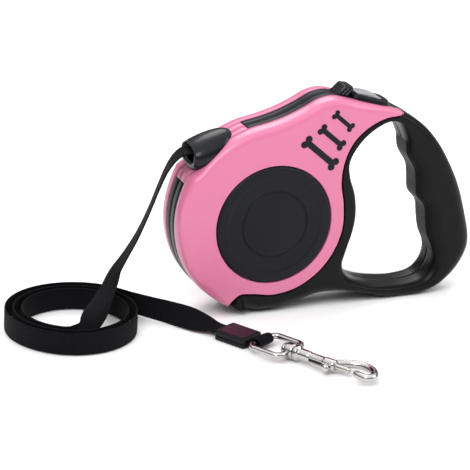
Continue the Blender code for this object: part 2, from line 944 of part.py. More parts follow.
# point, then the tape's side direction, mm
RUN = (
    ((-66.0, 0.0, 88.6), (0.0, 1.0, 0.0)),
    ((-77.0, 0.0, 89.9), (0.0, 1.0, 0.0)),
    ((-83.0, 0.0, 87.3), (0.09, 0.99, -0.1)),
    ((-88.0, 0.0, 80.8), (0.22, 0.97, -0.11)),
    ((-92.3, 0.2, 71.0), (0.28, 0.96, -0.08)),
    ((-96.7, 0.8, 59.0), (0.3, 0.95, -0.04)),
    ((-102.3, 2.2, 45.0), (0.27, 0.96, -0.02)),
    ((-108.6, 3.6, 33.0), (0.16, 0.99, -0.04)),
    ((-114.0, 3.2, 25.0), (-0.19, 0.95, -0.25)),
    ((-118.8, -2.0, 19.6), (-0.53, 0.76, -0.38)),
    ((-125.2, -9.8, 14.6), (-0.72, 0.68, -0.11)),
    ((-131.4, -16.8, 10.4), (-0.77, 0.54, 0.34)),
    ((-137.6, -23.0, 7.6), (-0.57, 0.3, 0.77)),
    ((-142.2, -27.2, 6.5), (0.0, 0.0, 1.0)),
    ((-146.2, -29.6, 6.3), (0.0, 0.0, 1.0)),
    ((-150.4, -30.4, 6.3), (0.0, 0.0, 1.0)),
)
TAIL = (
    ((-109.2, 12.8, 6.3), (0.0, 0.0, 1.0)),
    ((-104.2, 6.2, 6.3), (0.0, 0.0, 1.0)),
    ((-97.0, -3.0, 6.3), (0.05, 0.0, 1.0)),
    ((-89.2, -12.4, 6.2), (0.20, 0.1, 0.95)),
    ((-81.5, -20.6, 5.5), (0.50, 0.25, 0.75)),
    ((-74.8, -26.0, 4.0), (0.85, 0.45, 0.35)),
    ((-70.3, -29.9, 2.95), (0.87, 0.5, 0.0)),
    ((-67.5, -34.2, 2.85), (0.87, 0.5, 0.0)),
)


def build_tape():
    feed = smooth(FEED, 2)
    finish(ribbon("tape_feed", feed, [(0, 1, 0)] * len(feed), TAPE_W - 0.2, TAPE_T), WEB)
    for name, route, parts in (("tape_run", RUN, 3), ("tape_tail", TAIL, 3)):
        points = smooth([p for p, _ in route], parts)
        sides = smooth([s for _, s in route], parts)
        finish(ribbon(name, points, sides, TAPE_W - 0.2, TAPE_T), WEB)
    ring = turned(
        "tape_coil",
        [
            (COIL_OUT, TAPE_W),
            (COIL_OUT, 0.0),
            (COIL_IN, 0.0),
            (COIL_IN, TAPE_W),
        ],
        (*COIL_AT, 0.0),
        "Z",
        40,
    )
    finish(ring, WEB)


# ---------- swivel snap ----------

LAID = Matrix.Translation(Vector((*SNAP_AT, 0)) * MM) @ Matrix.Rotation(SNAP_TURN, 4, "Z")
BAR_X = -21.8
HOOK_PATH = (
    (21.5, 0.4),
    (24.5, 3.6),
    (29.5, 7.9),
    (35.0, 9.9),
    (40.5, 9.0),
    (45.0, 5.6),
    (46.6, 1.6),
    (45.0, -1.4),
    (41.5, -1.5),
    (36.8, -0.2),
)


def lay(obj, look, origin=None):
    """Moves a piece from the snap's own frame to the ground."""
    placed(obj, LAID)
    spot = None if origin is None else tuple(v / MM for v in LAID @ (Vector(origin) * MM))
    return finish(obj, look, spot)


def rounded(x0, x1, y0, y1, r, count=3):
    """A rounded rectangle in the snap's own X and Y."""
    out = []
    for cx, cy, start in ((x1 - r, y1 - r, 0), (x0 + r, y1 - r, 90), (x0 + r, y0 + r, 180), (x1 - r, y0 + r, 270)):
        for i in range(count + 1):
            a = radians(start + 90 * i / count)
            out.append((cx + r * cos(a), cy + r * sin(a)))
    return out


def slab(name, points, z0, z1, edge=0.0):
    """A flat plate of an outline in the snap's own X and Y."""
    made = prism(name, [[(x, y) for x, y in points]], -z1, -z0, edge, 1)
    made.data.transform(Matrix.Rotation(-pi / 2, 4, "X"))
    return made


def build_snap():
    base = slab("clip_cover_base", rounded(-47, -27.5, -7.7, 7.7, 1.5), 0.0, 2.0, 0.4)
    lay(base, BLACK)
    top = slab("clip_cover_top", rounded(-47, -27.5, -7.7, 7.7, 1.5), 2.3, 5.2, 0.5)
    way = box("tape_way", (30, TAPE_W + 0.6, 1.5), (-37, 0, 3.0))
    seat = slab("label_seat", rounded(-45.2, -29.4, -6.2, 6.2, 1.0), 4.7, 9.0)
    lay(minus(top, way, seat), BLACK)
    lay(slab("label_plate", rounded(-44.9, -29.7, -5.9, 5.9, 0.8), 4.85, 5.25), MAROON)
    path = smooth(
        (
            (-27.2, 3.55),
            (-24.8, 5.3),
            (-21.8, 6.8),
            (-19.6, 5.9),
            (-18.9, 4.3),
            (-19.6, 2.7),
            (-21.8, 1.8),
            (-24.8, 1.8),
            (-27.2, 2.25),
        ),
        2,
    )
    loop = prism("tape_loop", [moved(path, 0.5) + list(reversed(moved(path, -0.5)))], -5.9, 5.9)
    lay(loop, WEB)
    frame = rounded(BAR_X, -3.0, -10.6, 10.6, 3.0)
    eye = wire("swivel_eye", [(x, y, SNAP_Z) for x, y in frame], 1.6, 1, True)
    collar = turned("collar", [(4.2, -0.4), (4.2, -5.4), (2.1, -5.4), (2.1, -0.4)], (0, 0, SNAP_Z), "X", 24)
    bore = turned("collar_bore", [(2.1, 4.0), (2.1, -9.0), (0, -9.0), (0, 4.0)], (0, 0, SNAP_Z), "X", 24)
    lay(minus(plus(eye, collar), bore), NICKEL, (BAR_X, 0, SNAP_Z))
    shank = turned(
        "hook_body",
        [
            (0, 24.6),
            (2.7, 24.6),
            (3.1, 24.0),
            (3.1, 2.6),
            (4.1, 2.2),
            (4.1, 0.2),
            (1.8, -0.2),
            (1.8, -5.7),
            (3.3, -5.8),
            (3.3, -7.0),
            (2.5, -7.8),
            (0, -7.8),
        ],
        (0, 0, SNAP_Z),
        "X",
        24,
    )
    shank = plus(shank, wire("hook_loop", [(x, y, SNAP_Z) for x, y in smooth(HOOK_PATH, 2)], 2.15, 2))
    shank = minus(
        shank,
        turned("bolt_bore", [(0, 30), (1.8, 30), (1.8, 7), (0, 7)], (0, 0, SNAP_Z), "X", 16),
        box("bolt_slot", (14.6, 6, 2.2), (17.4, -4.0, SNAP_Z)),
    )
    lay(shank, NICKEL, (0, 0, SNAP_Z))
    bolt = turned(
        "snap_bolt",
        [(0, 33.9), (1.1, 33.9), (1.5, 33.3), (1.5, 19.4), (1.1, 19.0), (0, 19.0)],
        (0, 0, SNAP_Z),
        "X",
        16,
    )
    bolt = minus(bolt, box("knob_seat", (2.4, 2.0, 2.4), (22.4, -1.9, SNAP_Z)))
    lay(bolt, NICKEL, (20, 0, SNAP_Z))
    profile = [(0, 7.2), (1.2, 7.0), (2.0, 6.0), (2.1, 4.9), (1.5, 3.9), (0.8, 3.6), (0.8, 1.1), (0, 1.1)]
    knob = turned("bolt_knob", profile, (0, 0, 0), "Y", 16)
    placed(knob, Matrix.Translation(Vector((22.4, 0, SNAP_Z)) * MM) @ Matrix.Rotation(pi, 4, "Z"))
    lay(knob, NICKEL, (20, 0, SNAP_Z))
    coil = [
        (7.6 + 11.0 * i / 40, 1.3 * cos(2 * pi * i / 8), SNAP_Z + 1.3 * sin(2 * pi * i / 8))
        for i in range(41)
    ]
    lay(wire("bolt_spring", coil, 0.25, 0), STEEL)


build_casing()
build_covers()
build_grip()
build_nozzle()
build_brake()
build_reel()
build_tape()
build_snap()
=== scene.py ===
"""Retractable tape leash: the finished surfaces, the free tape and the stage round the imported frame."""

from math import cos, pi, radians, sin

import bmesh
import bpy
import numpy as np
from mathutils import Matrix, Vector
from mathutils.geometry import delaunay_2d_cdt


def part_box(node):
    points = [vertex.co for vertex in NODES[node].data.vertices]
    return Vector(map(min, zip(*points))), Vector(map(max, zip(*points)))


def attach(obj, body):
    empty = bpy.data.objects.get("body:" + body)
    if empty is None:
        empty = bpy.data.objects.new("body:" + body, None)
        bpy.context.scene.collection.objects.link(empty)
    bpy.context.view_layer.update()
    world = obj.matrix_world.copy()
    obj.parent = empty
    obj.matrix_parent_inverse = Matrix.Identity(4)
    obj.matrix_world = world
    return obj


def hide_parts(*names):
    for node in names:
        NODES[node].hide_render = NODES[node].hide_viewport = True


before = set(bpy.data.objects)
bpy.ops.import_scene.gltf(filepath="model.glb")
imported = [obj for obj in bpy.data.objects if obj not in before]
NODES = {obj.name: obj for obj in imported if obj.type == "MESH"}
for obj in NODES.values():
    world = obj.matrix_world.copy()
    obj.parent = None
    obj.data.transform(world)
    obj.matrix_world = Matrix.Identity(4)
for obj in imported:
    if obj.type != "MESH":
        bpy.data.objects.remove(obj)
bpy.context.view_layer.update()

bl_info = {
    "name": "Retractable tape leash",
    "version": (1, 0, 0),
    "blender": (4, 5, 0),
    "location": "View3D > Sidebar > Leash",
    "description": "Builds the finished surfaces of a retractable tape leash",
    "category": "Object",
}

MM = 0.001
MERGE, PLATE_MERGE = 1e-7, 2e-6  # m
UP = (0.0, 0.0, 1.0)
SIDES = (("left", -1), ("right", 1))


def middle(node):
    """Middle of a CAD node's box, mm."""
    low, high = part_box(node)
    return np.array((low + high) / 2) / MM


# ---------- driving sizes, mm ----------

HUB_X, _, HUB_Z = middle("hub_cap_left")
CAP_R = 32.0
CAP_FACE = -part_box("hub_cap_left")[0].y / MM
COVER_FACE = -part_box("cover_left")[0].y / MM
RIM_FACE = -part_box("housing_left")[0].y / MM
HANDLE_FACE = -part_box("grip_insert")[0].y / MM
BAND_HALF = 5.8
SEAM_DEEP = 0.4
FRONT_R = 50.1
FRONT_OPENS = 3.5
FRONT_FROM, FRONT_SPAN = -118.0, 94.0  # degrees
TIP_X = 35.5
THIN_X = (8.6, 16.0, 25.0, 34.0, 44.0)
THIN_SHARE = (0.0, 0.3, 0.62, 0.75, 1.0)
THIN_FROM = 6.0
BUTTON_X, BUTTON_Z = 21.2, 110.4
RIM_TILT = radians(-15.5)
BONES = (
    ("large", (-9.3, 87.6), 20.7, 1.7, 1.95),
    ("middle", (-3.1, 95.7), 14.9, 1.4, 1.65),
    ("small", (2.9, 104.1), 11.8, 1.15, 1.4),
)
BONE_TILT = radians(-40.5)
TAPE_W = 12.0
TAPE_T = 1.0
COIL_X, COIL_Y = -139.4, -7.5
SNAP_X, SNAP_Y = -43.5, -75.5
SNAP_TURN = radians(-60.0)
SNAP_Z = 4.3
BAR_X = -21.8

RUN = (
    ((-66.0, 0.0, 88.6), (0.0, 1.0, 0.0)), ((-77.0, 0.0, 89.9), (0.0, 1.0, 0.0)),
    ((-83.0, 0.0, 87.3), (0.09, 0.99, -0.1)), ((-88.0, 0.0, 80.8), (0.22, 0.97, -0.11)),
    ((-92.3, 0.2, 71.0), (0.28, 0.96, -0.08)), ((-96.7, 0.8, 59.0), (0.3, 0.95, -0.04)),
    ((-102.3, 2.2, 45.0), (0.27, 0.96, -0.02)), ((-108.6, 3.6, 33.0), (0.16, 0.99, -0.04)),
    ((-114.0, 3.2, 25.0), (-0.19, 0.95, -0.25)), ((-118.8, -2.0, 19.6), (-0.53, 0.76, -0.38)),
    ((-125.2, -9.8, 14.6), (-0.72, 0.68, -0.11)), ((-131.4, -16.8, 10.4), (-0.7, 0.5, 0.5)),
    ((-137.6, -23.0, 7.6), (-0.38, 0.2, 0.9)), ((-142.2, -27.2, 6.5), (0.0, 0.0, 1.0)),
    ((-146.2, -29.6, 6.3), (0.0, 0.0, 1.0)),
)
TAIL = (
    ((-104.2, 6.2, 6.3), (0.0, 0.0, 1.0)), ((-97.0, -3.0, 6.3), (0.05, 0.0, 1.0)),
    ((-89.2, -12.4, 6.2), (0.20, 0.1, 0.95)), ((-81.5, -20.6, 5.5), (0.50, 0.25, 0.75)),
    ((-74.8, -26.0, 4.0), (0.85, 0.45, 0.35)), ((-70.3, -29.9, 2.95), (0.87, 0.5, 0.0)),
    ((-67.5, -34.2, 2.85), (0.87, 0.5, 0.0)),
)
BARE_X, BARE_Z = -46.0, 73.5
HANDLE_TURN, HANDLE_ROUNDING = 9.6, 7.6
COVER_FOLD = 5.0
GRIP_SKIN = 0.15
NEAR = 0.8  # a point this close to a line counts as on it
BAND_SECTION = (
    (0.25, 0.04), (0.05, 0.2), (0.05, BAND_HALF - 0.3), (0.3, BAND_HALF), (3.0, BAND_HALF), (3.0, 0.04),
)
GRIP_BACK = ((70.2, 25.5), (66.9, 35.0), (65.0, 45.0), (60.4, 56.0), (58.9, 62.0), (56.5, 73.5), (51.9, 81.0))
CAP_PROFILE = (  # radius, drop below the cap's face
    (0.0, 0.25), (17.3, 0.4), (17.6, 0.9), (18.3, 0.9), (18.6, 0.4), (25.6, 0.4), (26.4, 0.0), (30.9, 0.05),
    (CAP_R, 1.1),
)
CAP_FOOT = [(CAP_R, 13.0), (0.0, 13.0)]
NOZZLE_CONE = (  # x, z, half height, half width
    (-53.3, 94.6, 1.6, 1.6), (-54.6, 93.9, 5.4, 5.0), (-57.5, 92.0, 8.2, 8.8), (-62.0, 90.0, 9.6, 11.2),
    (-68.0, 88.4, 9.4, 12.2), (-73.5, 87.4, 8.1, 11.9), (-76.2, 87.2, 6.9, 11.0),
)
NOZZLE_SLOT = (  # the same, and how boxed it is: the lip, then the slot's walls
    (-76.9, 87.6, 6.2, 10.3, 0.9), (-77.0, 88.1, 5.4, 9.2, 0.8), (-76.6, 88.5, 4.8, 7.9, 0.7),
    (-75.4, 88.7, 4.4, 7.2, 0.6), (-68.0, 88.6, 3.4, 6.7, 0.5), (-64.0, 88.3, 2.9, 6.6, 0.5),
)
MOUND_FLANK = (  # share of the spread, height
    (1.0, -1.8), (1.0, 0.3), (0.93, 1.6), (0.75, 2.5), (0.5, 2.9), (0.2, 2.7), (0.0, 2.1), (0.0, -1.8),
)
MOUND_RIBS = (-10.3, -9.2, -8.1)
LOCK_BLOCK = ((2.6, 115.4), (7.3, 119.9), (11.9, 119.1), (12.0, 117.9), (9.8, 113.8))
LOCK_LEAN = (0.745, 0.667)
LOCK_RIDGE, LOCK_SINK = 1.75, 0.11
COIL_FIRST, COIL_LAST = -115.7, 33.9 - 3 * 360.0  # degrees, clockwise from above
COIL_R = (25.4, 36.4)
COIL_STEP = 15.0
COIL_WAVE, COIL_Z = 0.25, 6.25
TAPE_EDGE = 0.45
HOOK_PATH = (
    (18.6, -0.1), (21.5, 0.4), (24.5, 3.6), (29.5, 7.9), (35.0, 9.9), (40.5, 9.0), (45.0, 5.6), (46.6, 1.6),
    (45.0, -1.4), (41.5, -1.5), (36.8, -0.2),
)
LOOP_PATH = (
    (-30.0, 3.3), (-27.2, 3.55), (-24.8, 5.3), (-21.8, 6.8), (-19.6, 5.9), (-18.9, 4.3), (-19.6, 2.7),
    (-21.8, 1.8), (-24.8, 1.8), (-27.2, 2.25), (-30.0, 2.4),
)
EYE_END = -3.0
KNOB_X = 22.4
# profiles of the snap's turned pieces: radius, place along the snap
COLLAR = ((2.0, -0.35), (3.9, -0.35), (4.3, -1.2), (4.3, -4.6), (3.9, -5.45), (2.0, -5.45))
SHANK = (
    (0.0, 25.2), (2.5, 25.2), (3.1, 24.2), (3.1, 18.8), (2.75, 18.0), (2.75, 9.4), (3.1, 8.6), (3.1, 2.9),
    (4.2, 2.2), (4.2, 0.2), (1.8, -0.2), (1.8, -5.7), (3.3, -5.8), (3.3, -7.0), (2.4, -7.9), (0.0, -7.9),
)
BOLT = ((0.0, 33.9), (1.0, 33.9), (1.5, 33.2), (1.5, 19.4), (1.0, 19.0), (0.0, 19.0))
KNOB = ((0.0, 7.2), (1.3, 7.0), (2.1, 5.9), (2.1, 4.9), (1.3, 3.9), (0.9, 3.4), (0.9, 1.1), (0.0, 1.1))


# ---------- lines ----------


def spline(points, parts, closed=False):
    """Catmull-Rom: each span's cubic passes through its two points, with the slope at a
    point half the difference of its neighbours."""
    p = np.array(points, float)
    n = len(p)
    if closed:
        a, b, c, d = (np.roll(p, k, 0) for k in (1, 0, -1, -2))
    else:
        q = np.vstack((2 * p[0] - p[1], p, 2 * p[-1] - p[-2]))
        a, b, c, d = (q[k : k + n - 1] for k in range(4))
    t = (np.arange(parts) / parts)[None, :, None]
    a, b, c, d = (v[:, None, :] for v in (a, b, c, d))
    out = 0.5 * (
        2 * b
        + (c - a) * t
        + (2 * a - 5 * b + 4 * c - d) * t**2
        + (3 * b - a - 3 * c + d) * t**3
    )
    out = out.reshape(-1, p.shape[1])
    return out if closed else np.vstack((out, p[-1]))


def even(line, step, closed=False):
    """The same line with points an even distance apart."""
    line = np.vstack((line, line[:1])) if closed else np.asarray(line, float)
    along = np.r_[0, np.cumsum(np.linalg.norm(np.diff(line, axis=0), axis=1))]
    count = max(int(round(along[-1] / step)), 3)
    at = np.linspace(0, along[-1], count + 1)
    at = at[:-1] if closed else at
    return np.stack([np.interp(at, along, line[:, k]) for k in range(line.shape[1])], 1)


def unit(vectors):
    """Vectors at length one."""
    return vectors / np.maximum(np.linalg.norm(vectors, axis=1, keepdims=True), 1e-9)


def runs(line, closed=False):
    """Unit vectors along a line, each from the point before to the point after."""
    return unit(np.roll(line, -1, 0) - np.roll(line, 1, 0) if closed else np.gradient(line, axis=0))


def normals(line, closed=True):
    """Unit vectors to the left of a plane line's run."""
    run = runs(line, closed)
    return np.stack((-run[:, 1], run[:, 0]), 1)


def even_step(line):
    """Mean spacing of a line's points."""
    return float(np.linalg.norm(np.diff(line, axis=0), axis=1).mean())


def area(loop):
    """Area of a closed loop, above zero when it runs anticlockwise."""
    x, z = loop[:, 0], loop[:, 1]
    return 0.5 * np.sum(x * np.roll(z, -1) - z * np.roll(x, -1))


def inside(points, loop):
    """Which points lie in a closed loop: a ray to the right crosses it an odd number of times."""
    x, z = points[:, 0][:, None], points[:, 1][:, None]
    a, b = loop, np.roll(loop, -1, 0)
    over = (a[:, 1] > z) != (b[:, 1] > z)
    rise = np.where(b[:, 1] == a[:, 1], 1e-12, b[:, 1] - a[:, 1])
    cut = a[:, 0] + (z - a[:, 1]) * (b[:, 0] - a[:, 0]) / rise
    return (over & (x < cut)).sum(1) % 2 == 1


def nearest(points, others):
    """Distance from each point to the nearest of the others."""
    return np.sqrt(((points[:, None, :] - others[None, :, :]) ** 2).sum(2).min(1))


def soften(values, times):
    """A field round a closed loop, evened out with its neighbours."""
    for _ in range(times):
        values = (np.roll(values, 1) + 2 * values + np.roll(values, -1)) / 4
    return values


def round_angles(count):
    """Even angles once round, in radians."""
    return np.linspace(0, 2 * pi, count, endpoint=False)


def boxed(wave, power):
    """A sine or cosine to a power below one, its sign kept, which squares a circle up."""
    return np.sign(wave) * np.abs(wave) ** power


def rounded_box(x0, x1, wide, corner, parts, step):
    """A rectangle from x0 to x1 and wide to either side, a quarter circle at each corner."""
    a = np.radians(np.linspace(0, 90, parts))
    loop = []
    for k, (x, y) in enumerate(((x1, wide), (x0, wide), (x0, -wide), (x1, -wide))):
        arc = np.stack((np.cos(a + k * pi / 2), np.sin(a + k * pi / 2)), 1) * corner
        loop.extend(arc + (x - np.sign(x - (x0 + x1) / 2) * corner, y - np.sign(y) * corner))
    return even(np.array(loop), step, True)


# ---------- meshes ----------


def shown(name, verts, faces, body, look, uv=None, merge=MERGE):
    """A piece from whole arrays of points in mm and faces, riding on its body. Points closer
    than merge become one, and the faces are turned outwards."""
    slot, material = LOOKS[look]
    mesh = bpy.data.meshes.new(name)
    mesh.from_pydata((np.asarray(verts) * MM).tolist(), [], [list(f) for f in faces])
    if uv is not None:
        layer = mesh.uv_layers.new(name="along")
        corner = np.empty(len(mesh.loops), np.int32)
        mesh.loops.foreach_get("vertex_index", corner)
        layer.data.foreach_set("uv", np.asarray(uv, np.float32)[corner].ravel())
    mesh.validate()
    work = bmesh.new()
    work.from_mesh(mesh)
    bmesh.ops.remove_doubles(work, verts=work.verts, dist=merge)
    bmesh.ops.recalc_face_normals(work, faces=work.faces)
    if work.calc_volume(signed=True) < 0:
        bmesh.ops.reverse_faces(work, faces=work.faces)
    work.to_mesh(mesh)
    work.free()
    mesh.polygons.foreach_set("use_smooth", np.ones(len(mesh.polygons), bool))
    obj = bpy.data.objects.new(name, mesh)
    bpy.context.scene.collection.objects.link(obj)
    mesh.materials.append(material)
    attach(obj, body)
    return obj


def quads(rows, cols, ring):
    """Faces of a grid of closed rows of points. A ring joins its last row to the first."""
    r = np.arange(rows if ring else rows - 1)[:, None]
    c = np.arange(cols)[None, :]
    r2, c2 = (r + 1) % rows, (c + 1) % cols
    f = np.stack(np.broadcast_arrays(r * cols + c, r * cols + c2, r2 * cols + c2, r2 * cols + c), -1)
    return f.reshape(-1, 4).tolist()


def tube(name, grid, body, look, ring=False, uv=None):
    """A skin over closed rows of points (rows, points, xyz): its ends are closed by a fan,
    or a ring joins the last row to the first."""
    rows, cols, _ = grid.shape
    verts = grid.reshape(-1, 3)
    faces = quads(rows, cols, ring)
    if not ring:
        verts = np.vstack((verts, grid[0].mean(0), grid[-1].mean(0)))
        n = rows * cols
        for k in range(cols):
            j = (k + 1) % cols
            faces.append([n, j, k])
            faces.append([n + 1, n - cols + k, n - cols + j])
        if uv is not None:
            uv = np.vstack((uv, uv[0], uv[-1]))
    return shown(name, verts, faces, body, look, uv)


def sweep(name, path, radius, body, look, count, ring=False, flat=1.0):
    """A round rod: a circle carried along a path, square to its run, its height times flat."""
    run = runs(path, ring)
    side = unit(np.cross(run, UP))
    rise = np.cross(side, run)
    a = round_angles(count)
    r = np.broadcast_to(np.asarray(radius, float), len(path))[:, None, None]
    grid = path[:, None] + r * (
        np.cos(a)[None, :, None] * side[:, None] + flat * np.sin(a)[None, :, None] * rise[:, None]
    )
    return tube(name, grid, body, look, ring)


def turned_grid(profile, count):
    """Rings of a profile of (radius, height) round the third axis."""
    radius, height = (v[:, None] for v in np.array(profile, float).T)
    a = round_angles(count)
    return np.stack((radius * np.cos(a), radius * np.sin(a), np.repeat(height, count, 1)), 2)


def turned(name, profile, place, body, look, count):
    """A closed profile of (radius, height) carried round an axis. place turns points whose
    axis is the third coordinate into mm in the frame."""
    return tube(name, place(turned_grid(profile, count)), body, look)


def rounded_profile(points, radius, parts=5):
    """A line in the plane with an arc in place of each inner corner."""
    p = np.array(points, float)
    out = [p[0]]
    for a, b, c in zip(p, p[1:], p[2:]):
        into, away = (b - a), (c - b)
        la, lc = np.linalg.norm(into), np.linalg.norm(away)
        cut = min(radius, 0.45 * la, 0.45 * lc)
        start, end = b - into / la * cut, b + away / lc * cut
        t = np.linspace(0, 1, parts)[:, None]
        out.extend((1 - t) ** 2 * start + 2 * t * (1 - t) * b + t**2 * end)
    out.append(p[-1])
    return np.array(out)


def depth_at(x, y):
    """The casing narrows toward the handle: what stands beyond the band loses a share of
    its depth that grows with x, so the rim's face runs down to the handle's."""
    share = np.interp(x, THIN_X, THIN_SHARE) * (RIM_FACE - HANDLE_FACE) / (RIM_FACE - THIN_FROM)
    over = np.maximum(np.abs(y) - THIN_FROM, 0.0)
    return y - np.sign(y) * over * share


def face_of(rings, step):
    """Points and triangles that fill the flat face between closed loops, the first one the
    outer: a Delaunay net over the loops and a grid of inner points."""
    loops = [np.asarray(r, float) for r in rings]
    low, high = loops[0].min(0), loops[0].max(0)
    gx, gz = np.meshgrid(np.arange(low[0], high[0], step), np.arange(low[1], high[1], step))
    gx = gx + (np.arange(gx.shape[0]) % 2)[:, None] * step / 2
    grid = np.stack((gx.ravel(), gz.ravel()), 1)
    keep = inside(grid, loops[0])
    for hole in loops[1:]:
        keep &= ~inside(grid, hole)
    edge = np.vstack(loops)
    grid = grid[keep]
    if len(grid):
        grid = grid[nearest(grid, edge) > 0.6 * step]
    points = np.vstack((edge, grid))
    edges, first = [], 0
    for loop in loops:
        n = len(loop)
        edges += [(first + k, first + (k + 1) % n) for k in range(n)]
        first += n
    made = delaunay_2d_cdt([Vector(p) for p in points.tolist()], edges, [], 0, 1e-7, False)
    flat = np.array([tuple(v) for v in made[0]], float)
    tris = [f for f in made[2] if len(f) == 3]
    centre = flat[np.array(tris)].mean(1)
    good = inside(centre, loops[0])
    for hole in loops[1:]:
        good &= ~inside(centre, hole)
    return flat, [t for t, g in zip(tris, good) if g]


def rolled(feet, face, turn, lean=0.0, parts=9):
    """Rings of (share of the inset, depth): up the side wall through its feet, round a
    quarter ellipse on to the face, then a little way along the face so that it stays flat."""
    a = np.linspace(0, pi / 2, parts)
    rows = list(feet)
    rows += [(lean + (1 - lean) * (1 - cos(v)), face - turn * (1 - sin(v))) for v in a]
    return rows + [(1.05, face)]


def slab(name, loops, insets, rows, body, look, sides=(-1, 1), step=3.0, thin=False, shape=None):
    """A plate over closed loops. Each loop's wall climbs through rows of (share of the inset,
    depth), the inset being a field round the loop, and a net fills the face. sides says which
    faces are made; a one-sided plate is closed by the same net at its first depth. A thin
    plate follows the casing as it narrows, and shape moves its points last."""
    verts, faces = [], []
    shape = shape or (lambda p: p)
    face = rows[-1][1]

    def add(points, depth):
        """Adds a ring or a net at a depth, and gives the number of its first point."""
        first = sum(len(v) for v in verts)
        x, z = points[:, 0], points[:, 1]
        y = np.full(len(x), float(depth))
        verts.append(shape(np.stack((x, depth_at(x, y) if thin else y, z), 1)))
        return first

    def fill(rings, gap, depth):
        """Adds the net between rings at a depth."""
        flat, tris = face_of(rings, gap)
        first = add(flat, depth)
        return [[first + i for i in t] for t in tris]

    for side in sides:
        inner = []
        for loop, inset in zip(loops, insets):
            left = normals(loop) * (1 if area(loop) > 0 else -1)
            inward = left if loop is loops[0] else -left
            start = None
            for share, depth in rows:
                ring = loop + inward * (inset * share)[:, None]
                first = add(ring, side * depth)
                if start is not None:
                    k = np.arange(len(loop))
                    j = (k + 1) % len(loop)
                    faces += np.stack((start + k, start + j, first + j, first + k), 1).tolist()
                start = first
            inner.append(ring)
        faces += fill(inner, step, side * face)
    if len(sides) == 1:
        faces += fill(loops, step * 2, sides[0] * rows[0][1])
    return shown(name, np.vstack(verts), faces, body, look, merge=PLATE_MERGE)


def on_side(sign, x, z):
    """Turns points with the third coordinate as the axis so that it runs out along Y."""

    def place(grid):
        return np.stack((x + grid[..., 0], sign * grid[..., 2], z + grid[..., 1]), -1)

    return place


def laid(grid):
    """From the snap's own frame, x along the hook, to where it lies on the ground."""
    c, s = cos(SNAP_TURN), sin(SNAP_TURN)
    g = np.asarray(grid, float)
    return np.stack(
        (SNAP_X + c * g[..., 0] - s * g[..., 1], SNAP_Y + s * g[..., 0] + c * g[..., 1], g[..., 2]), -1
    )


def along_snap(grid):
    """Turned pieces of the snap: the third coordinate is the snap's x."""
    return laid(np.stack((grid[..., 2], grid[..., 0], SNAP_Z + grid[..., 1]), -1))


# ---------- outlines of the casing, mm ----------


def front():
    """The front: an arc about the hub that opens evenly as it climbs."""
    t = np.linspace(0, 1, 60)
    return about_hub(FRONT_R + FRONT_OPENS * t, np.radians(FRONT_FROM - FRONT_SPAN * t))


def about_hub(radius, angles):
    """Points at a radius and at angles about the hub."""
    return np.stack((HUB_X + radius * np.cos(angles), HUB_Z + radius * np.sin(angles)), 1)


def shoulder():
    """The corner under the nozzle, the hump, and down to the brake."""
    return spline(
        (
            (-75.6, 80.6), (-67.7, 88.9), (-60.0, 94.9), (-53.6, 98.4), (-45.5, 101.5), (-36.0, 103.6),
            (-26.4, 106.4), (-16.7, 110.5), (-9.5, 114.2), (-2.3, 115.9), (4.0, 115.1), (12.0, 112.9),
            (20.0, 110.7), (30.0, 108.0), (TIP_X, 106.3),
        ),
        6,
    )


def cover_inner():
    """The cover's lower edge, from the tip over the handle back to the front."""
    return spline(
        (
            (TIP_X, 103.1), (28.0, 102.2), (18.3, 98.1), (10.2, 91.2), (5.8, 81.5), (4.5, 70.1),
            (6.5, 57.5), (6.6, 44.5), (2.4, 32.0), (-5.8, 21.2), (-17.5, 13.4), (-31.0, 10.3),
            (-43.0, 11.8), (-50.0, 12.1), (-54.2, 9.3),
        ),
        6,
    )


def back_edge():
    """The handle's back, from the cover's tip down to the foot."""
    return spline(
        (
            (38.6, 105.4), (48.3, 99.7), (57.7, 91.6), (66.8, 79.5), (76.0, 61.7), (82.0, 43.0),
            (84.9, 29.0), (82.9, 19.5), (76.5, 10.2), (67.0, 3.0), (57.0, 0.0),
        ),
        8,
    )


def under_edge():
    """Along the ground and the arched web, to the front."""
    web = spline(
        (
            (43.0, 0.0), (35.0, 0.6), (28.0, 2.6), (19.7, 4.8), (8.0, 6.6), (-4.4, 6.0), (-16.0, 2.8),
            (-27.0, 0.0),
        ),
        6,
    )
    arc = about_hub(FRONT_R, np.radians(np.linspace(-101, -117, 8)))
    return np.vstack((web, [(-39.0, 0.0)], arc))


def hand_gap():
    """The opening that the fingers go through."""
    return spline(
        (
            (9.8, 22.0), (11.6, 31.5), (14.6, 41.0), (16.0, 51.0), (14.6, 62.0), (10.6, 73.0), (9.9, 81.5),
            (17.0, 91.3), (25.5, 97.5), (32.9, 99.9), (39.2, 96.6), (43.6, 88.5), (45.2, 79.8),
            (50.3, 71.3), (51.6, 64.0), (52.6, 55.8), (57.6, 49.3), (59.0, 40.5), (60.6, 32.5),
            (63.9, 24.5), (63.2, 16.0), (58.0, 9.0), (48.0, 6.8), (37.0, 7.1), (25.0, 9.2), (15.0, 14.0),
        ),
        6,
        closed=True,
    )


def on_rim(s, n):
    """A point s along and n above the rim at the brake button."""
    c, k = cos(RIM_TILT), sin(RIM_TILT)
    return (BUTTON_X + s * c - n * k, BUTTON_Z + s * k + n * c)


def bar(reach, a, b, axis):
    """A straight path: reach along X (axis 0) or Y (axis 1), the other two fixed."""
    rest = [np.full(len(reach), v) for v in (a, b)]
    rest.insert(axis, reach)
    return np.stack(rest, 1)


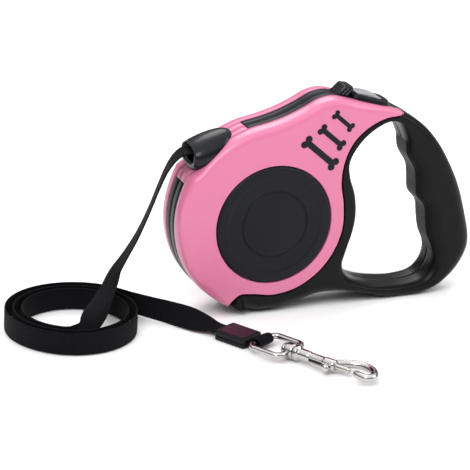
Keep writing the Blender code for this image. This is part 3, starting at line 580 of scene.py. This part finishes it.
def bone_outline(centre, apart, half, lobe):
    """Two pairs of round lobes joined by a straight shaft."""
    up = lobe * 0.95
    first = pi + np.arcsin((up - half) / lobe)
    last = -np.arcsin(up / lobe * 0.999)
    a = np.linspace(first, last, 22)
    top = np.stack((apart / 2 + lobe * np.cos(a), up + lobe * np.sin(a)), 1)
    right = np.vstack((top, top[-2::-1] * (1, -1)))
    c, s = cos(BONE_TILT), sin(BONE_TILT)
    return even(np.vstack((right, -right)) @ np.array(((c, s), (-s, c))) + centre, 0.35, True)


# ---------- finishes ----------


def group(name, inputs, outputs):
    """An empty shader group with its sockets."""
    tree = bpy.data.node_groups.new(name, "ShaderNodeTree")
    for label, kind, value in inputs:
        made = tree.interface.new_socket(label, in_out="INPUT", socket_type=kind)
        made.default_value = value
    for label, kind in outputs:
        tree.interface.new_socket(label, in_out="OUTPUT", socket_type=kind)
    return tree, tree.nodes.new("NodeGroupInput"), tree.nodes.new("NodeGroupOutput")


def sum_node(tree, kind, a, b):
    """A Math node on two numbers or sockets."""
    node = tree.nodes.new("ShaderNodeMath")
    node.operation = kind
    for socket, value in zip(node.inputs, (a, b)):
        if isinstance(value, (int, float)):
            socket.default_value = value
        elif value is not None:
            tree.links.new(value, socket)
    return node.outputs[0]


def noise(tree, vector, scale, detail):
    """A Noise texture's value, its scale a number or a socket."""
    node = tree.nodes.new("ShaderNodeTexNoise")
    node.inputs["Detail"].default_value = detail
    if isinstance(scale, (int, float)):
        node.inputs["Scale"].default_value = scale
    else:
        tree.links.new(scale, node.inputs["Scale"])
    tree.links.new(vector, node.inputs["Vector"])
    return node.outputs["Fac"]


def toned(tree, color, factor, amount):
    """The colour times 1 + (factor - 0.5) * amount."""
    shift = sum_node(tree, "SUBTRACT", factor, 0.5)
    times = sum_node(tree, "ADD", sum_node(tree, "MULTIPLY", shift, amount), 1.0)
    scale = tree.nodes.new("ShaderNodeVectorMath")
    scale.operation = "SCALE"
    tree.links.new(color, scale.inputs[0])
    tree.links.new(times, scale.inputs["Scale"])
    return scale.outputs[0]


def skin_group():
    """Moulded or polished skin: fine grain for bump, and soft patches where handling has
    changed the gloss and the tone."""
    tree, given, out = group(
        "Worn skin",
        (
            ("Color", "NodeSocketColor", (0.5, 0.5, 0.5, 1)),
            ("Roughness", "NodeSocketFloat", 0.4),
            ("Spread", "NodeSocketFloat", 0.1),
            ("Tone", "NodeSocketFloat", 0.1),
            ("Grain", "NodeSocketFloat", 2000.0),
        ),
        (("Color", "NodeSocketColor"), ("Roughness", "NodeSocketFloat"), ("Height", "NodeSocketFloat")),
    )
    place = tree.nodes.new("ShaderNodeTexCoord").outputs["Object"]
    patches = noise(tree, place, 70.0, 4.0)
    marks = noise(tree, place, 420.0, 3.0)
    grain = noise(tree, place, given.outputs["Grain"], 2.0)
    mixed = sum_node(tree, "MULTIPLY", sum_node(tree, "ADD", patches, marks), 0.5)
    shift = sum_node(tree, "MULTIPLY", sum_node(tree, "SUBTRACT", mixed, 0.5), given.outputs["Spread"])
    rough = sum_node(tree, "ADD", given.outputs["Roughness"], shift)
    tree.links.new(toned(tree, given.outputs["Color"], mixed, given.outputs["Tone"]), out.inputs["Color"])
    tree.links.new(rough, out.inputs["Roughness"])
    tree.links.new(grain, out.inputs["Height"])
    return tree


def weave_group():
    """Nylon webbing from its own map, u along the tape in mm and v across it from 0 to 1:
    cross ribs that step by half a rib from one cord of the weave to the next. The colour follows
    the ribs' height: painted shade in the weave's hollows and a painted highlight on the rib tops."""
    tree, given, out = group(
        "Webbing",
        (
            ("Color", "NodeSocketColor", (0.01, 0.01, 0.015, 1)),
            ("Rib", "NodeSocketFloat", 1.1),
            ("Cords", "NodeSocketFloat", 9.0),
            # Tone: how strong the painted shade in the hollows and the painted highlight on the rib tops are
            ("Tone", "NodeSocketFloat", 1.6),
        ),
        (("Color", "NodeSocketColor"), ("Height", "NodeSocketFloat")),
    )
    uv = tree.nodes.new("ShaderNodeUVMap")
    uv.uv_map = "along"
    parts = tree.nodes.new("ShaderNodeSeparateXYZ")
    tree.links.new(uv.outputs[0], parts.inputs[0])
    cord = sum_node(tree, "MULTIPLY", parts.outputs[1], given.outputs["Cords"])
    step = sum_node(tree, "MULTIPLY", sum_node(tree, "FLOOR", cord, None), 0.5)
    turn = sum_node(tree, "ADD", sum_node(tree, "DIVIDE", parts.outputs[0], given.outputs["Rib"]), step)
    rib, lane = (
        sum_node(tree, "ABSOLUTE", sum_node(tree, "SINE", sum_node(tree, "MULTIPLY", value, pi), None), None)
        for value in (turn, cord)
    )
    height = sum_node(tree, "MULTIPLY", rib, sum_node(tree, "POWER", lane, 0.4))
    # colour scaled by the weave's height: painted shade in its hollows, painted highlight on its rib tops
    tree.links.new(toned(tree, given.outputs["Color"], height, given.outputs["Tone"]), out.inputs["Color"])
    tree.links.new(height, out.inputs["Height"])
    return tree


GROUPS = {}


def finish_of(
    name, kind, color, rough, metal=0.0, bump=0.1, deep=0.0001, coat=0.0, sheen=0.0, shine=0.5, **values
):
    """A Principled material fed by one of the groups. bump is its strength and deep its
    height in metres."""
    mat = bpy.data.materials.new(name)
    mat.use_nodes = True
    tree = mat.node_tree
    shader = tree.nodes["Principled BSDF"]
    node = tree.nodes.new("ShaderNodeGroup")
    node.node_tree = GROUPS[kind]
    node.inputs["Color"].default_value = (*color, 1.0)
    for label, value in values.items():
        node.inputs[label].default_value = value
    tree.links.new(node.outputs["Color"], shader.inputs["Base Color"])
    if kind == "skin":
        node.inputs["Roughness"].default_value = rough
        tree.links.new(node.outputs["Roughness"], shader.inputs["Roughness"])
    else:
        shader.inputs["Roughness"].default_value = rough
    shader.inputs["Metallic"].default_value = metal
    shader.inputs["Specular IOR Level"].default_value = shine
    shader.inputs["Coat Weight"].default_value = coat
    shader.inputs["Coat Roughness"].default_value = 0.12
    shader.inputs["Sheen Weight"].default_value = sheen
    height = tree.nodes.new("ShaderNodeBump")
    height.inputs["Strength"].default_value = bump
    height.inputs["Distance"].default_value = deep
    tree.links.new(node.outputs["Height"], height.inputs["Height"])
    tree.links.new(height.outputs[0], shader.inputs["Normal"])
    return mat


LOOKS = {}


def make_looks(colours):
    """All the finishes, from the colours of the panel, each with the slot it belongs to."""
    GROUPS["skin"], GROUPS["weave"] = skin_group(), weave_group()

    def skin(look, slot, name, color, rough, spread, tone, grain, **more):
        made = finish_of(name, "skin", tuple(color), rough, Spread=spread, Tone=tone, Grain=grain, **more)
        LOOKS[look] = slot, made

    # look, slot, name, colour, then roughness, its spread, the tone's and the grain's scale
    body, handle, black = colours.body, colours.handle, "black_plastic"
    skin("pink", "pink_plastic", "Pink plastic", colours.cover, 0.36, 0.08, 0.06, 2600.0, coat=0.2)
    skin("black", black, "Black plastic", body, 0.4, 0.16, 0.3, 2400.0, bump=0.22, shine=0.17)
    skin("handle", black, "Handle plastic", handle, 0.34, 0.16, 0.3, 2400.0, bump=0.15, shine=0.14)
    skin("cap", black, "Hub cap plastic", body, 0.5, 0.12, 0.3, 1900.0, bump=0.35, shine=0.17)
    skin("gloss", black, "Nozzle plastic", body, 0.24, 0.1, 0.3, 2600.0, coat=0.06, shine=0.2)
    skin(
        "soft", "soft_grip", "Soft grip", handle, 0.5, 0.15, 0.4, 1500.0,
        bump=0.4, deep=0.00015, sheen=0.01, shine=0.14,
    )
    skin("grey", "grey_plastic", "Grey plastic", colours.button, 0.35, 0.12, 0.1, 2400.0, bump=0.2)
    skin("white", "white_plastic", "Acetal", (0.72, 0.72, 0.69), 0.4, 0.1, 0.05, 2400.0)
    skin("label", "label_card", "Label plate", colours.label, 0.45, 0.2, 0.5, 900.0)
    skin("nickel", "nickel", "Nickel plate", colours.metal, 0.16, 0.14, 0.08, 700.0, metal=1.0, bump=0.12)
    skin("steel", "steel", "Steel", (0.5, 0.5, 0.5), 0.32, 0.2, 0.15, 1500.0, metal=1.0)
    LOOKS["tape"] = "webbing", finish_of(
        "Nylon webbing", "weave", tuple(colours.tape), 0.7, bump=0.8, deep=0.0003, sheen=0.01, shine=0.08
    )


# ---------- settings ----------


class LeashSizes(bpy.types.PropertyGroup):
    """Sizes that a user would change."""

    tape_width: bpy.props.FloatProperty(
        name="Tape width", description="Width of the webbing",
        default=TAPE_W * MM, unit="LENGTH", min=0.004,
    )
    tape_thickness: bpy.props.FloatProperty(
        name="Tape thickness", description="Thickness of the webbing",
        default=TAPE_T * MM, unit="LENGTH", min=0.0003,
    )
    cover_fold: bpy.props.FloatProperty(
        name="Cover fold", description="How far the covers' outer fold reaches in",
        default=COVER_FOLD * MM, unit="LENGTH",
    )
    handle_round: bpy.props.FloatProperty(
        name="Handle rounding", description="How far the handle's edges are rounded",
        default=HANDLE_ROUNDING * MM, unit="LENGTH",
    )


class LeashColours(bpy.types.PropertyGroup):
    """Colours that a user would change."""

    cover: bpy.props.FloatVectorProperty(
        name="Covers", description="Pink of the two covers",
        default=(0.64, 0.165, 0.30), size=3, subtype="COLOR",
    )
    body: bpy.props.FloatVectorProperty(
        name="Casing", description="Black of the casing",
        default=(0.0065, 0.007, 0.009), size=3, subtype="COLOR",
    )
    handle: bpy.props.FloatVectorProperty(
        name="Handle", description="Black of the handle",
        default=(0.0035, 0.0033, 0.0042), size=3, subtype="COLOR",
    )
    button: bpy.props.FloatVectorProperty(
        name="Button", description="Grey of the brake button",
        default=(0.3, 0.305, 0.315), size=3, subtype="COLOR",
    )
    tape: bpy.props.FloatVectorProperty(
        name="Tape", description="Black of the webbing",
        default=(0.0028, 0.003, 0.0042), size=3, subtype="COLOR",
    )
    label: bpy.props.FloatVectorProperty(
        name="Label", description="Maroon of the blank label",
        default=(0.03, 0.008, 0.018), size=3, subtype="COLOR",
    )
    metal: bpy.props.FloatVectorProperty(
        name="Snap", description="Nickel of the snap",
        default=(0.52, 0.51, 0.49), size=3, subtype="COLOR",
    )


# ---------- stage ----------


FLOOR_HALF, FLOOR_LOW = 4.0, -0.0003  # m
FLOOR_CORNERS = ((-1, -1), (1, -1), (1, 1), (-1, 1))
ROOM_LEVELS = ((0.12, 0.12), (0.34, 0.16), (0.52, 0.95))  # height, level
LAMP_AIM = (-0.03, 0.0, 0.05)
LAMPS = (
    ("key", (-0.9, -0.9, 1.3), 0.9, 14.0),
    ("side", (1.1, -0.5, 0.7), 0.7, 5.0),
    ("back", (0.2, 1.1, 1.2), 0.9, 7.0),
)
VIEW_RIGHT = Vector((0.93095, -0.36267, 0.04250))
VIEW_UP = Vector((0.08977, 0.34014, 0.93607))
VIEW_AHEAD = Vector((0.35395, 0.86763, -0.34921))
VIEW_MIDDLE = Vector((-33.0, -15.0, 50.1))
VIEW_BACK = 20.535 * VIEW_RIGHT + 5.182 * VIEW_UP + 1301.43 * VIEW_AHEAD
FOCAL, VIEW_WIDTH, SENSOR = 2500.0, 470.0, 36.0


def lamp(name, place, size, power):
    """A round soft lamp that faces the leash."""
    data = bpy.data.lights.new(name, "AREA")
    data.shape = "DISK"
    data.size = size
    data.energy = power
    obj = bpy.data.objects.new(name, data)
    obj.location = Vector(place)
    obj.rotation_euler = (Vector(LAMP_AIM) - Vector(place)).to_track_quat("-Z", "Y").to_euler()
    bpy.context.scene.collection.objects.link(obj)


class LEASH_OT_stage(bpy.types.Operator):
    """Make the finishes, the pale floor, the soft light and the camera"""

    bl_idname = "leash.stage"
    bl_label = "Stage"

    def room(self, tree):
        """A soft room: dim at eye level, with a dark stretch, and bright overhead."""
        place = tree.nodes.new("ShaderNodeTexCoord")
        parts = tree.nodes.new("ShaderNodeSeparateXYZ")
        ramp = tree.nodes.new("ShaderNodeValToRGB")
        tree.links.new(place.outputs["Generated"], parts.inputs[0])
        tree.links.new(parts.outputs[2], ramp.inputs[0])
        low, high = ramp.color_ramp.elements
        low.position, low.color = 0.0, (0.55, 0.55, 0.56, 1)
        high.position, high.color = 0.9, (1.45, 1.45, 1.45, 1)
        for at, level in ROOM_LEVELS:
            ramp.color_ramp.elements.new(at).color = (level, level, level, 1)
        tree.links.new(ramp.outputs[0], tree.nodes["Background"].inputs["Color"])
        tree.nodes["Background"].inputs["Strength"].default_value = 1.0

    def floor(self, scene):
        """A pale square just under the leash."""
        mesh = bpy.data.meshes.new("floor")
        corners = [(x * FLOOR_HALF, y * FLOOR_HALF, FLOOR_LOW) for x, y in FLOOR_CORNERS]
        mesh.from_pydata(corners, [], [(0, 1, 2, 3)])
        floor = bpy.data.objects.new("floor", mesh)
        scene.collection.objects.link(floor)
        pale = bpy.data.materials.new("Pale floor")
        pale.use_nodes = True
        shader = pale.node_tree.nodes["Principled BSDF"]
        shader.inputs["Base Color"].default_value = (0.93, 0.93, 0.935, 1)
        shader.inputs["Roughness"].default_value = 0.75
        mesh.materials.append(pale)

    def execute(self, context):
        scene = context.scene
        make_looks(scene.leash_colours)
        self.floor(scene)
        world = bpy.data.worlds.new("soft room")
        world.use_nodes = True
        self.room(world.node_tree)
        scene.world = world
        for spec in LAMPS:
            lamp(*spec)
        data = bpy.data.cameras.new("camera")
        data.sensor_width = SENSOR
        data.lens = FOCAL / VIEW_WIDTH * data.sensor_width
        cam = bpy.data.objects.new("camera", data)
        scene.collection.objects.link(cam)
        turn = Matrix((VIEW_RIGHT, VIEW_UP, -VIEW_AHEAD)).transposed().to_4x4()
        cam.matrix_world = Matrix.Translation((VIEW_MIDDLE - VIEW_BACK) * MM) @ turn
        scene.camera = cam
        scene.view_settings.view_transform = "Standard"
        return {"FINISHED"}


# ---------- the tape ----------


def tape_route():
    """Centre points and side directions of the whole free tape: out of the nozzle, down
    over the coil, round it clockwise from the inside out, and off to the clip."""
    angles = np.radians(np.arange(COIL_FIRST, COIL_LAST, -COIL_STEP))
    r = COIL_R[0] + (COIL_R[1] - COIL_R[0]) * np.linspace(0, 1, len(angles))
    r += COIL_WAVE * np.sin(3 * angles)
    high = np.full(len(r), COIL_Z)
    coil = np.stack((COIL_X + r * np.cos(angles), COIL_Y + r * np.sin(angles), high), 1)
    points = np.vstack(([p for p, _ in RUN], coil, [p for p, _ in TAIL]))
    sides = np.vstack(([s for _, s in RUN], np.tile(UP, (len(coil), 1)), [s for _, s in TAIL]))
    return spline(points, 12), spline(sides, 12)


def ribbon(name, path, sides, width, thick):
    """A flat tape: a flattened oval section carried along the path, its long way kept on
    the side direction. Its map runs along the tape in mm and across it from 0 to 1."""
    run = runs(path)
    side = unit(sides - run * (sides * run).sum(1, keepdims=True))
    flat = np.cross(run, side)
    a = round_angles(24)
    across = boxed(np.cos(a), TAPE_EDGE) * width / 2
    over = boxed(np.sin(a), TAPE_EDGE) * thick / 2
    grid = path[:, None] + across[None, :, None] * side[:, None] + over[None, :, None] * flat[:, None]
    along = np.r_[0, np.cumsum(np.linalg.norm(np.diff(path, axis=0), axis=1))]
    uv = np.stack((np.repeat(along, len(a)), np.tile(across / width + 0.5, len(path))), 1)
    return tube(name, grid, "casing", "tape", uv=uv), along[-1]


class LEASH_OT_tape(bpy.types.Operator):
    """Lay the free webbing from the nozzle, round its coil, to the clip"""

    bl_idname = "leash.tape"
    bl_label = "Tape"

    def execute(self, context):
        sizes = context.scene.leash_sizes
        width, thick = sizes.tape_width / MM, sizes.tape_thickness / MM
        path, sides = tape_route()
        made, length = ribbon("webbing_tape", path, sides, width, thick)
        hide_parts("tape_run", "tape_coil", "tape_tail")
        return {"FINISHED"}


# ---------- casing ----------


def half_outline():
    """Edge of a black half where it shows: handle, ground, web and rim, back under the cover."""
    beside = cover_inner()[::-1]
    tip = np.array(((TIP_X + 0.3, 103.4), (TIP_X + 0.4, 106.0)))
    return even(np.vstack((tip, back_edge(), under_edge()[1:], beside[2:-1])), 1.0, True)


class LEASH_OT_halves(bpy.types.Operator):
    """Build the two black halves: handle, rim round the hand gap, web and edge band"""

    bl_idname = "leash.halves"
    bl_label = "Black halves"

    def execute(self, context):
        most = context.scene.leash_sizes.handle_round / MM
        edge, gap = half_outline(), even(hand_gap(), 1.0, True)
        hidden = nearest(edge, even(cover_inner(), 0.5)) < NEAR
        wide = np.minimum(most, 0.40 * nearest(edge, gap))
        edge_in = soften(np.where(hidden, 0.6, wide), 6)
        gap_in = soften(np.minimum(most, 0.40 * nearest(gap, edge)), 6)
        feet = [(0.05, 0.1), (0.0, SEAM_DEEP), (0.0, 2.0)]
        rows = rolled(feet, RIM_FACE, HANDLE_TURN, parts=12)
        for side, sign in SIDES:
            half = slab(
                f"half_{side}", [edge, gap], [edge_in, gap_in], rows, "casing", "handle",
                (sign,), 3.0, True,
            )
            self.band(side, sign)
            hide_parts(f"housing_{side}")
        return {"FINISHED"}

    def band(self, side, sign):
        """The strip between the covers: a flat section with a chamfer at the seam, carried
        along the casing's edge. It is pink where it turns the corner under the nozzle."""
        line = even(np.vstack((front(), shoulder())), 1.2)
        inward = -normals(line, False)
        lip = np.flatnonzero((line[:, 0] < BARE_X) & (line[:, 1] > BARE_Z))
        stretches = (
            ("front", slice(0, lip[0] + 1), "black"),
            ("corner", slice(lip[0], lip[-1] + 1), "pink"),
            ("top", slice(lip[-1], len(line)), "black"),
        )
        for part, cut, look in stretches:
            rings = []
            for inset, depth in BAND_SECTION:
                x, z = (line[cut] + inward[cut] * inset).T
                rings.append(np.stack((x, np.full(len(x), sign * depth), z), 1))
            tube(f"band_{part}_{side}", np.stack(rings, 1), "casing", look)


class LEASH_OT_covers(bpy.types.Operator):
    """Build the two pink covers with their folded edge"""

    bl_idname = "leash.covers"
    bl_label = "Covers"

    def execute(self, context):
        fold = context.scene.leash_sizes.cover_fold / MM
        tip = ((37.6, 105.75), (39.2, 104.9), (39.6, 104.2), (38.9, 103.6), (37.4, 103.2))
        loop = even(np.vstack((front(), shoulder(), tip, cover_inner())), 1.0, True)
        from_inner = nearest(loop, even(cover_inner(), 0.5))
        from_outer = nearest(loop, even(np.vstack((front(), shoulder())), 0.5))
        narrow, wide = np.minimum(0.8, 0.42 * from_outer), np.minimum(fold, 0.42 * from_inner)
        inset = soften(np.where(from_inner < NEAR, narrow, wide), 8)
        corner = np.linalg.norm(loop - front()[-1], axis=1)
        inset = inset * np.clip(0.45 + corner / 26.0, 0.45, 1)
        rows = rolled([(0.0, BAND_HALF + 0.2), (0.02, 8.0), (0.06, 11.2)], COVER_FACE, 3.4, 0.08)
        hole = about_hub(CAP_R + 0.2, round_angles(180))
        for side, sign in SIDES:
            made = slab(
                f"cover_skin_{side}", [loop, hole], [inset, np.full(len(hole), 0.35)], rows, "casing", "pink",
                (sign,), 2.5, True,
            )
            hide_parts(f"cover_{side}")
        return {"FINISHED"}


class LEASH_OT_grip(bpy.types.Operator):
    """Build the soft insert on the finger side of the handle"""

    bl_idname = "leash.grip"
    bl_label = "Grip"

    def execute(self, context):
        gap = hand_gap()
        finger = gap[(gap[:, 0] > 42.5) & (gap[:, 1] > 19.8) & (gap[:, 1] < 90.5)]
        left = normals(finger, False)
        far = np.minimum(np.arange(len(finger)), np.arange(len(finger))[::-1]) * even_step(finger)
        proud = 0.25 - 0.65 * np.clip(1 - far / 4.0, 0, 1)
        finger = finger + left * proud[:, None] * (-1 if left[:, 0].mean() > 0 else 1)
        gap_line = even(gap, 0.5, True)

        def no_prouder(p):
            """Holds the insert to a skin's thickness above the rounded half under it."""
            share = np.clip(nearest(p[:, [0, 2]], gap_line) / HANDLE_ROUNDING, 0, 1)
            under = depth_at(p[:, 0], RIM_FACE - HANDLE_TURN * (1 - np.sqrt(1 - (1 - share) ** 2)))
            deep = np.minimum(np.abs(p[:, 1]), under + GRIP_SKIN)
            return np.column_stack((p[:, 0], np.sign(p[:, 1]) * deep, p[:, 2]))

        low, high = ((x + 0.7, z) for x, z in sorted((finger[0], finger[-1]), key=lambda p: p[1]))
        back = spline((low, *GRIP_BACK, high), 6)
        if finger[0][1] < finger[-1][1]:
            back = back[::-1]
        loop = even(np.vstack((finger, back)), 0.8, True)
        apart = nearest(loop, even(back, 0.4))
        rolled_in = np.minimum(HANDLE_ROUNDING, 0.3 + 0.4 * np.maximum(apart - 1.0, 0))
        inset = soften(np.where(apart < 0.9, 0.3, rolled_in), 2)
        rows = rolled([(0.0, 0.0), (0.0, 1.6)], HANDLE_FACE + 0.12, 7.2, parts=12)
        made = slab("grip_skin", [loop], [inset], rows, "casing", "soft", step=1.0, shape=no_prouder)
        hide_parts("grip_insert")
        return {"FINISHED"}


class LEASH_OT_caps(bpy.types.Operator):
    """Turn the two hub caps and set the bone inlays beside them"""

    bl_idname = "leash.caps"
    bl_label = "Hub caps and bones"

    def execute(self, context):
        line = rounded_profile([(r, CAP_FACE - drop) for r, drop in CAP_PROFILE] + CAP_FOOT, 0.5)
        rows = rolled([(0.0, 13.6), (0.0, 14.9)], COVER_FACE + 0.35, 0.35, parts=5)
        for side, sign in SIDES:
            cap = turned(f"cap_{side}", line, on_side(sign, HUB_X, HUB_Z), "casing", "cap", 128)
            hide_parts(f"hub_cap_{side}")
            for size, *spec in BONES:
                loop = bone_outline(*spec)
                made = slab(
                    f"bone_{size}_inlay_{side}", [loop], [np.full(len(loop), 0.4)], rows, "casing", "black",
                    (sign,), 1.0, True,
                )
                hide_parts(f"bone_{size}_{side}")
        return {"FINISHED"}


class LEASH_OT_nozzle(bpy.types.Operator):
    """Loft the cone that the tape leaves through, with its slot"""

    bl_idname = "leash.nozzle"
    bl_label = "Nozzle"

    def execute(self, context):
        a = round_angles(64)

        def ring(x, z, high, wide, power):
            """A boxed circle square to X."""
            y, up = boxed(np.cos(a), power) * wide, boxed(np.sin(a), power) * high
            return np.stack((np.full(len(a), x), y, z + up), 1)

        rows = [ring(*row, 0.92) for row in spline(NOZZLE_CONE, 7)] + [ring(*row) for row in NOZZLE_SLOT]
        made = tube("nozzle_cone", np.array(rows), "casing", "gloss")
        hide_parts("nozzle")
        return {"FINISHED"}


class LEASH_OT_brake(bpy.types.Operator):
    """Build the brake button, the ribbed mound round it and the ridged slide lock"""

    bl_idname = "leash.brake"
    bl_label = "Brake and lock"

    def execute(self, context):
        a = round_angles(96)
        rows = []
        for share, up in MOUND_FLANK:
            x, z = on_rim(0.9 + boxed(np.cos(a), 0.5) * (8.9 + 2.5 * share), up)
            rows.append(np.stack((x, boxed(np.sin(a), 0.5) * (5.0 + 2.9 * share), z), 1))
        mound = tube("button_mound", np.array(rows), "casing", "black", True)
        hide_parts("button_bezel")
        for k, along in enumerate(MOUND_RIBS):
            low, high = np.array((on_rim(along, -0.5), on_rim(along + 0.3, 3.25 - 0.12 * abs(k - 1))))
            x, z = (high + low) / 2
            path = bar(np.linspace(-5.4, 5.4, 15), x, z + 0.75, 1)
            sweep(f"mound_rib_{k + 1}", path, 0.42, "casing", "black", 14, flat=(high - low)[1] / 1.2)
        crown = [on_rim(v, 4.3 - 2.0 * abs((v + 1.6) / 9.9) ** 2.2) for v in np.linspace(-8.3, 8.3, 24)]
        loop = even(np.array(crown + [on_rim(8.3, -3.0), on_rim(-8.3, -3.0)]), 0.45, True)
        rows = rolled([(0.0, 0.0), (0.0, 2.2)], 4.6, 1.9, parts=8)
        button = slab("brake_button_cap", [loop], [np.full(len(loop), 1.3)], rows, "button", "grey", step=1.0)
        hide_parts("brake_button")
        self.lock()
        return {"FINISHED"}

    def lock(self):
        """A leaning block whose sides carry ridges along the lean: the depth drops by a
        raised sine of the distance square to the lean."""
        loop = even(np.array(LOCK_BLOCK), 0.3, True)

        def ridged(p):
            x, z = p[:, 0] - LOCK_BLOCK[0][0], p[:, 2] - LOCK_BLOCK[0][1]
            across = x * LOCK_LEAN[1] - z * LOCK_LEAN[0]
            wave = np.clip(0.5 + 0.9 * np.cos(2 * pi * across / LOCK_RIDGE), 0, 1)
            return p * np.stack((np.ones(len(p)), 1 - LOCK_SINK * wave, np.ones(len(p))), 1)

        rows = rolled([(0.0, 0.0), (0.0, 2.0)], 5.4, 0.8, parts=6)
        inset = np.full(len(loop), 0.6)
        made = slab("lock_block", [loop], [inset], rows, "lock", "gloss", step=0.3, shape=ridged)
        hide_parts("lock_slider")


# ---------- clip and snap ----------


class LEASH_OT_clip(bpy.types.Operator):
    """Build the flat cover on the tape's end, its blank label and the stitched loop"""

    bl_idname = "leash.clip"
    bl_label = "Clip cover"

    def plate(self, name, long, wide, corner, low, high, turn, look, replaced):
        """A rounded rectangle with rolled edges, flat on the snap's own plane."""
        loop = rounded_box(*long, wide, corner, 8, 0.5)
        inward = normals(loop) * (1 if area(loop) > 0 else -1)
        b = np.linspace(0, pi / 2, 6)
        rows = [(turn + 0.1, low)]
        rows += [(turn * (1 - cos(v)), low + turn * 0.5 * (1 - sin(v))) for v in b[::-1]]
        rows += [(turn * (1 - cos(v)), high - turn * (1 - sin(v))) for v in b]
        rows.append((turn + 0.1, high))
        grid = np.array([np.column_stack((loop + inward * i, np.full(len(loop), z))) for i, z in rows])
        made = tube(name, laid(grid), "casing", look)
        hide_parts(replaced)

    def execute(self, context):
        self.plate("clip_base", (-47.0, -27.5), 7.7, 1.6, 0.0, 2.05, 0.5, "black", "clip_cover_base")
        self.plate("clip_top", (-47.0, -27.5), 7.7, 1.6, 2.25, 5.15, 1.0, "black", "clip_cover_top")
        self.plate("clip_label", (-44.9, -29.7), 5.9, 0.8, 4.6, 5.32, 0.2, "label", "label_plate")
        path = laid(spline([(x, 0.0, z) for x, z in LOOP_PATH], 8))
        across = SNAP_TURN + pi / 2
        side = np.tile((cos(across), sin(across), 0.0), (len(path), 1))
        made, _ = ribbon("stitched_loop", path, side, TAPE_W - 0.4, TAPE_T)
        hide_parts("tape_loop")
        return {"FINISHED"}


class LEASH_OT_snap(bpy.types.Operator):
    """Cast the swivel eye, the hook, its bolt and the thumb knob"""

    bl_idname = "leash.snap"
    bl_label = "Swivel snap"

    def execute(self, context):
        loop = rounded_box(BAR_X, EYE_END, 10.6, 3.4, 10, 0.6)
        path = laid(np.column_stack((loop, np.full(len(loop), SNAP_Z))))
        eye = sweep("eye_frame", path, 1.6, "eye", "nickel", 28, True)
        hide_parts("swivel_eye")
        collar = np.vstack((rounded_profile(COLLAR, 0.4), (2.0, -3.0)))
        tube("eye_collar", along_snap(turned_grid(collar, 48)), "eye", "nickel", True)
        body = turned("hook_shank", rounded_profile(SHANK, 0.35), along_snap, "hook", "nickel", 48)
        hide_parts("hook_body")
        bend = even(spline([(x, y, SNAP_Z) for x, y in HOOK_PATH], 10), 0.5)
        thick = 2.15 - 0.25 * np.linspace(0, 1, len(bend)) ** 2
        thick[-3:] *= (0.93, 0.78, 0.5)
        sweep("hook_bend", laid(bend), thick, "hook", "nickel", 28)
        made = turned("bolt_pin", rounded_profile(BOLT, 0.3), along_snap, "bolt", "nickel", 32)
        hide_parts("snap_bolt")
        grid = turned_grid(rounded_profile(KNOB, 0.7), 32)
        grid = np.stack((KNOB_X + grid[..., 0], -grid[..., 2], SNAP_Z + grid[..., 1]), -1)
        made = tube("thumb_knob", laid(grid), "bolt", "nickel")
        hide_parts("bolt_knob")
        reach = np.linspace(10.2, 24.0, 20)
        for number, over in ((1, -1.05), (2, 1.05)):
            line = laid(bar(reach, -3.0, SNAP_Z + over, 0))
            sweep(f"slot_lip_{number}", line, 0.3, "hook", "nickel", 12)
        # a black rod along the inside of the slot: painted shade standing in for the slot's dark depth
        sweep("slot_shade_rod", laid(bar(reach, -2.32, SNAP_Z, 0)), 0.85, "hook", "black", 12)
        return {"FINISHED"}


class LEASH_OT_small(bpy.types.Operator):
    """Give the inner pieces and the screws their finishes"""

    bl_idname = "leash.small"
    bl_label = "Small and inner pieces"

    def execute(self, context):
        screws = [name for name in NODES if name.startswith("casing_screw")]
        looks = {
            "steel": ["axle", "mainspring", "lever_pin", "brake_spring", "bolt_spring", *screws],
            "white": ["reel", "spring_cover", "brake_lever"],
            "tape": ["tape_feed", "tape_wound"],
        }
        for look, names in looks.items():
            for name in names:
                NODES[name].data.materials.clear()
                NODES[name].data.materials.append(LOOKS[look][1])
        return {"FINISHED"}


STEPS = (
    LEASH_OT_stage,
    LEASH_OT_clip,
    LEASH_OT_snap,
    LEASH_OT_tape,
    LEASH_OT_halves,
    LEASH_OT_covers,
    LEASH_OT_grip,
    LEASH_OT_caps,
    LEASH_OT_nozzle,
    LEASH_OT_brake,
    LEASH_OT_small,
)


class LEASH_PT_panel(bpy.types.Panel):
    """Lists the steps and the settings"""

    bl_idname = "LEASH_PT_panel"
    bl_label = "Retractable leash"
    bl_space_type = "VIEW_3D"
    bl_region_type = "UI"
    bl_category = "Leash"

    def draw(self, context):
        for group_name in ("leash_sizes", "leash_colours"):
            settings = getattr(context.scene, group_name)
            for name in settings.bl_rna.properties.keys():
                if name not in ("rna_type", "name"):
                    self.layout.prop(settings, name)
        for step in STEPS:
            self.layout.operator(step.bl_idname)


CLASSES = (LeashSizes, LeashColours, *STEPS, LEASH_PT_panel)


def register():
    for cls in CLASSES:
        bpy.utils.register_class(cls)
    bpy.types.Scene.leash_sizes = bpy.props.PointerProperty(type=LeashSizes)
    bpy.types.Scene.leash_colours = bpy.props.PointerProperty(type=LeashColours)


def unregister():
    del bpy.types.Scene.leash_sizes
    del bpy.types.Scene.leash_colours
    for cls in reversed(CLASSES):
        bpy.utils.unregister_class(cls)


def main():
    register()
    bpy.ops.leash.stage()
    bpy.ops.leash.clip()
    bpy.ops.leash.snap()
    bpy.ops.leash.tape()
    bpy.ops.leash.halves()
    bpy.ops.leash.covers()
    bpy.ops.leash.grip()
    bpy.ops.leash.caps()
    bpy.ops.leash.nozzle()
    bpy.ops.leash.brake()
    bpy.ops.leash.small()


if __name__ == "__main__":
    main()
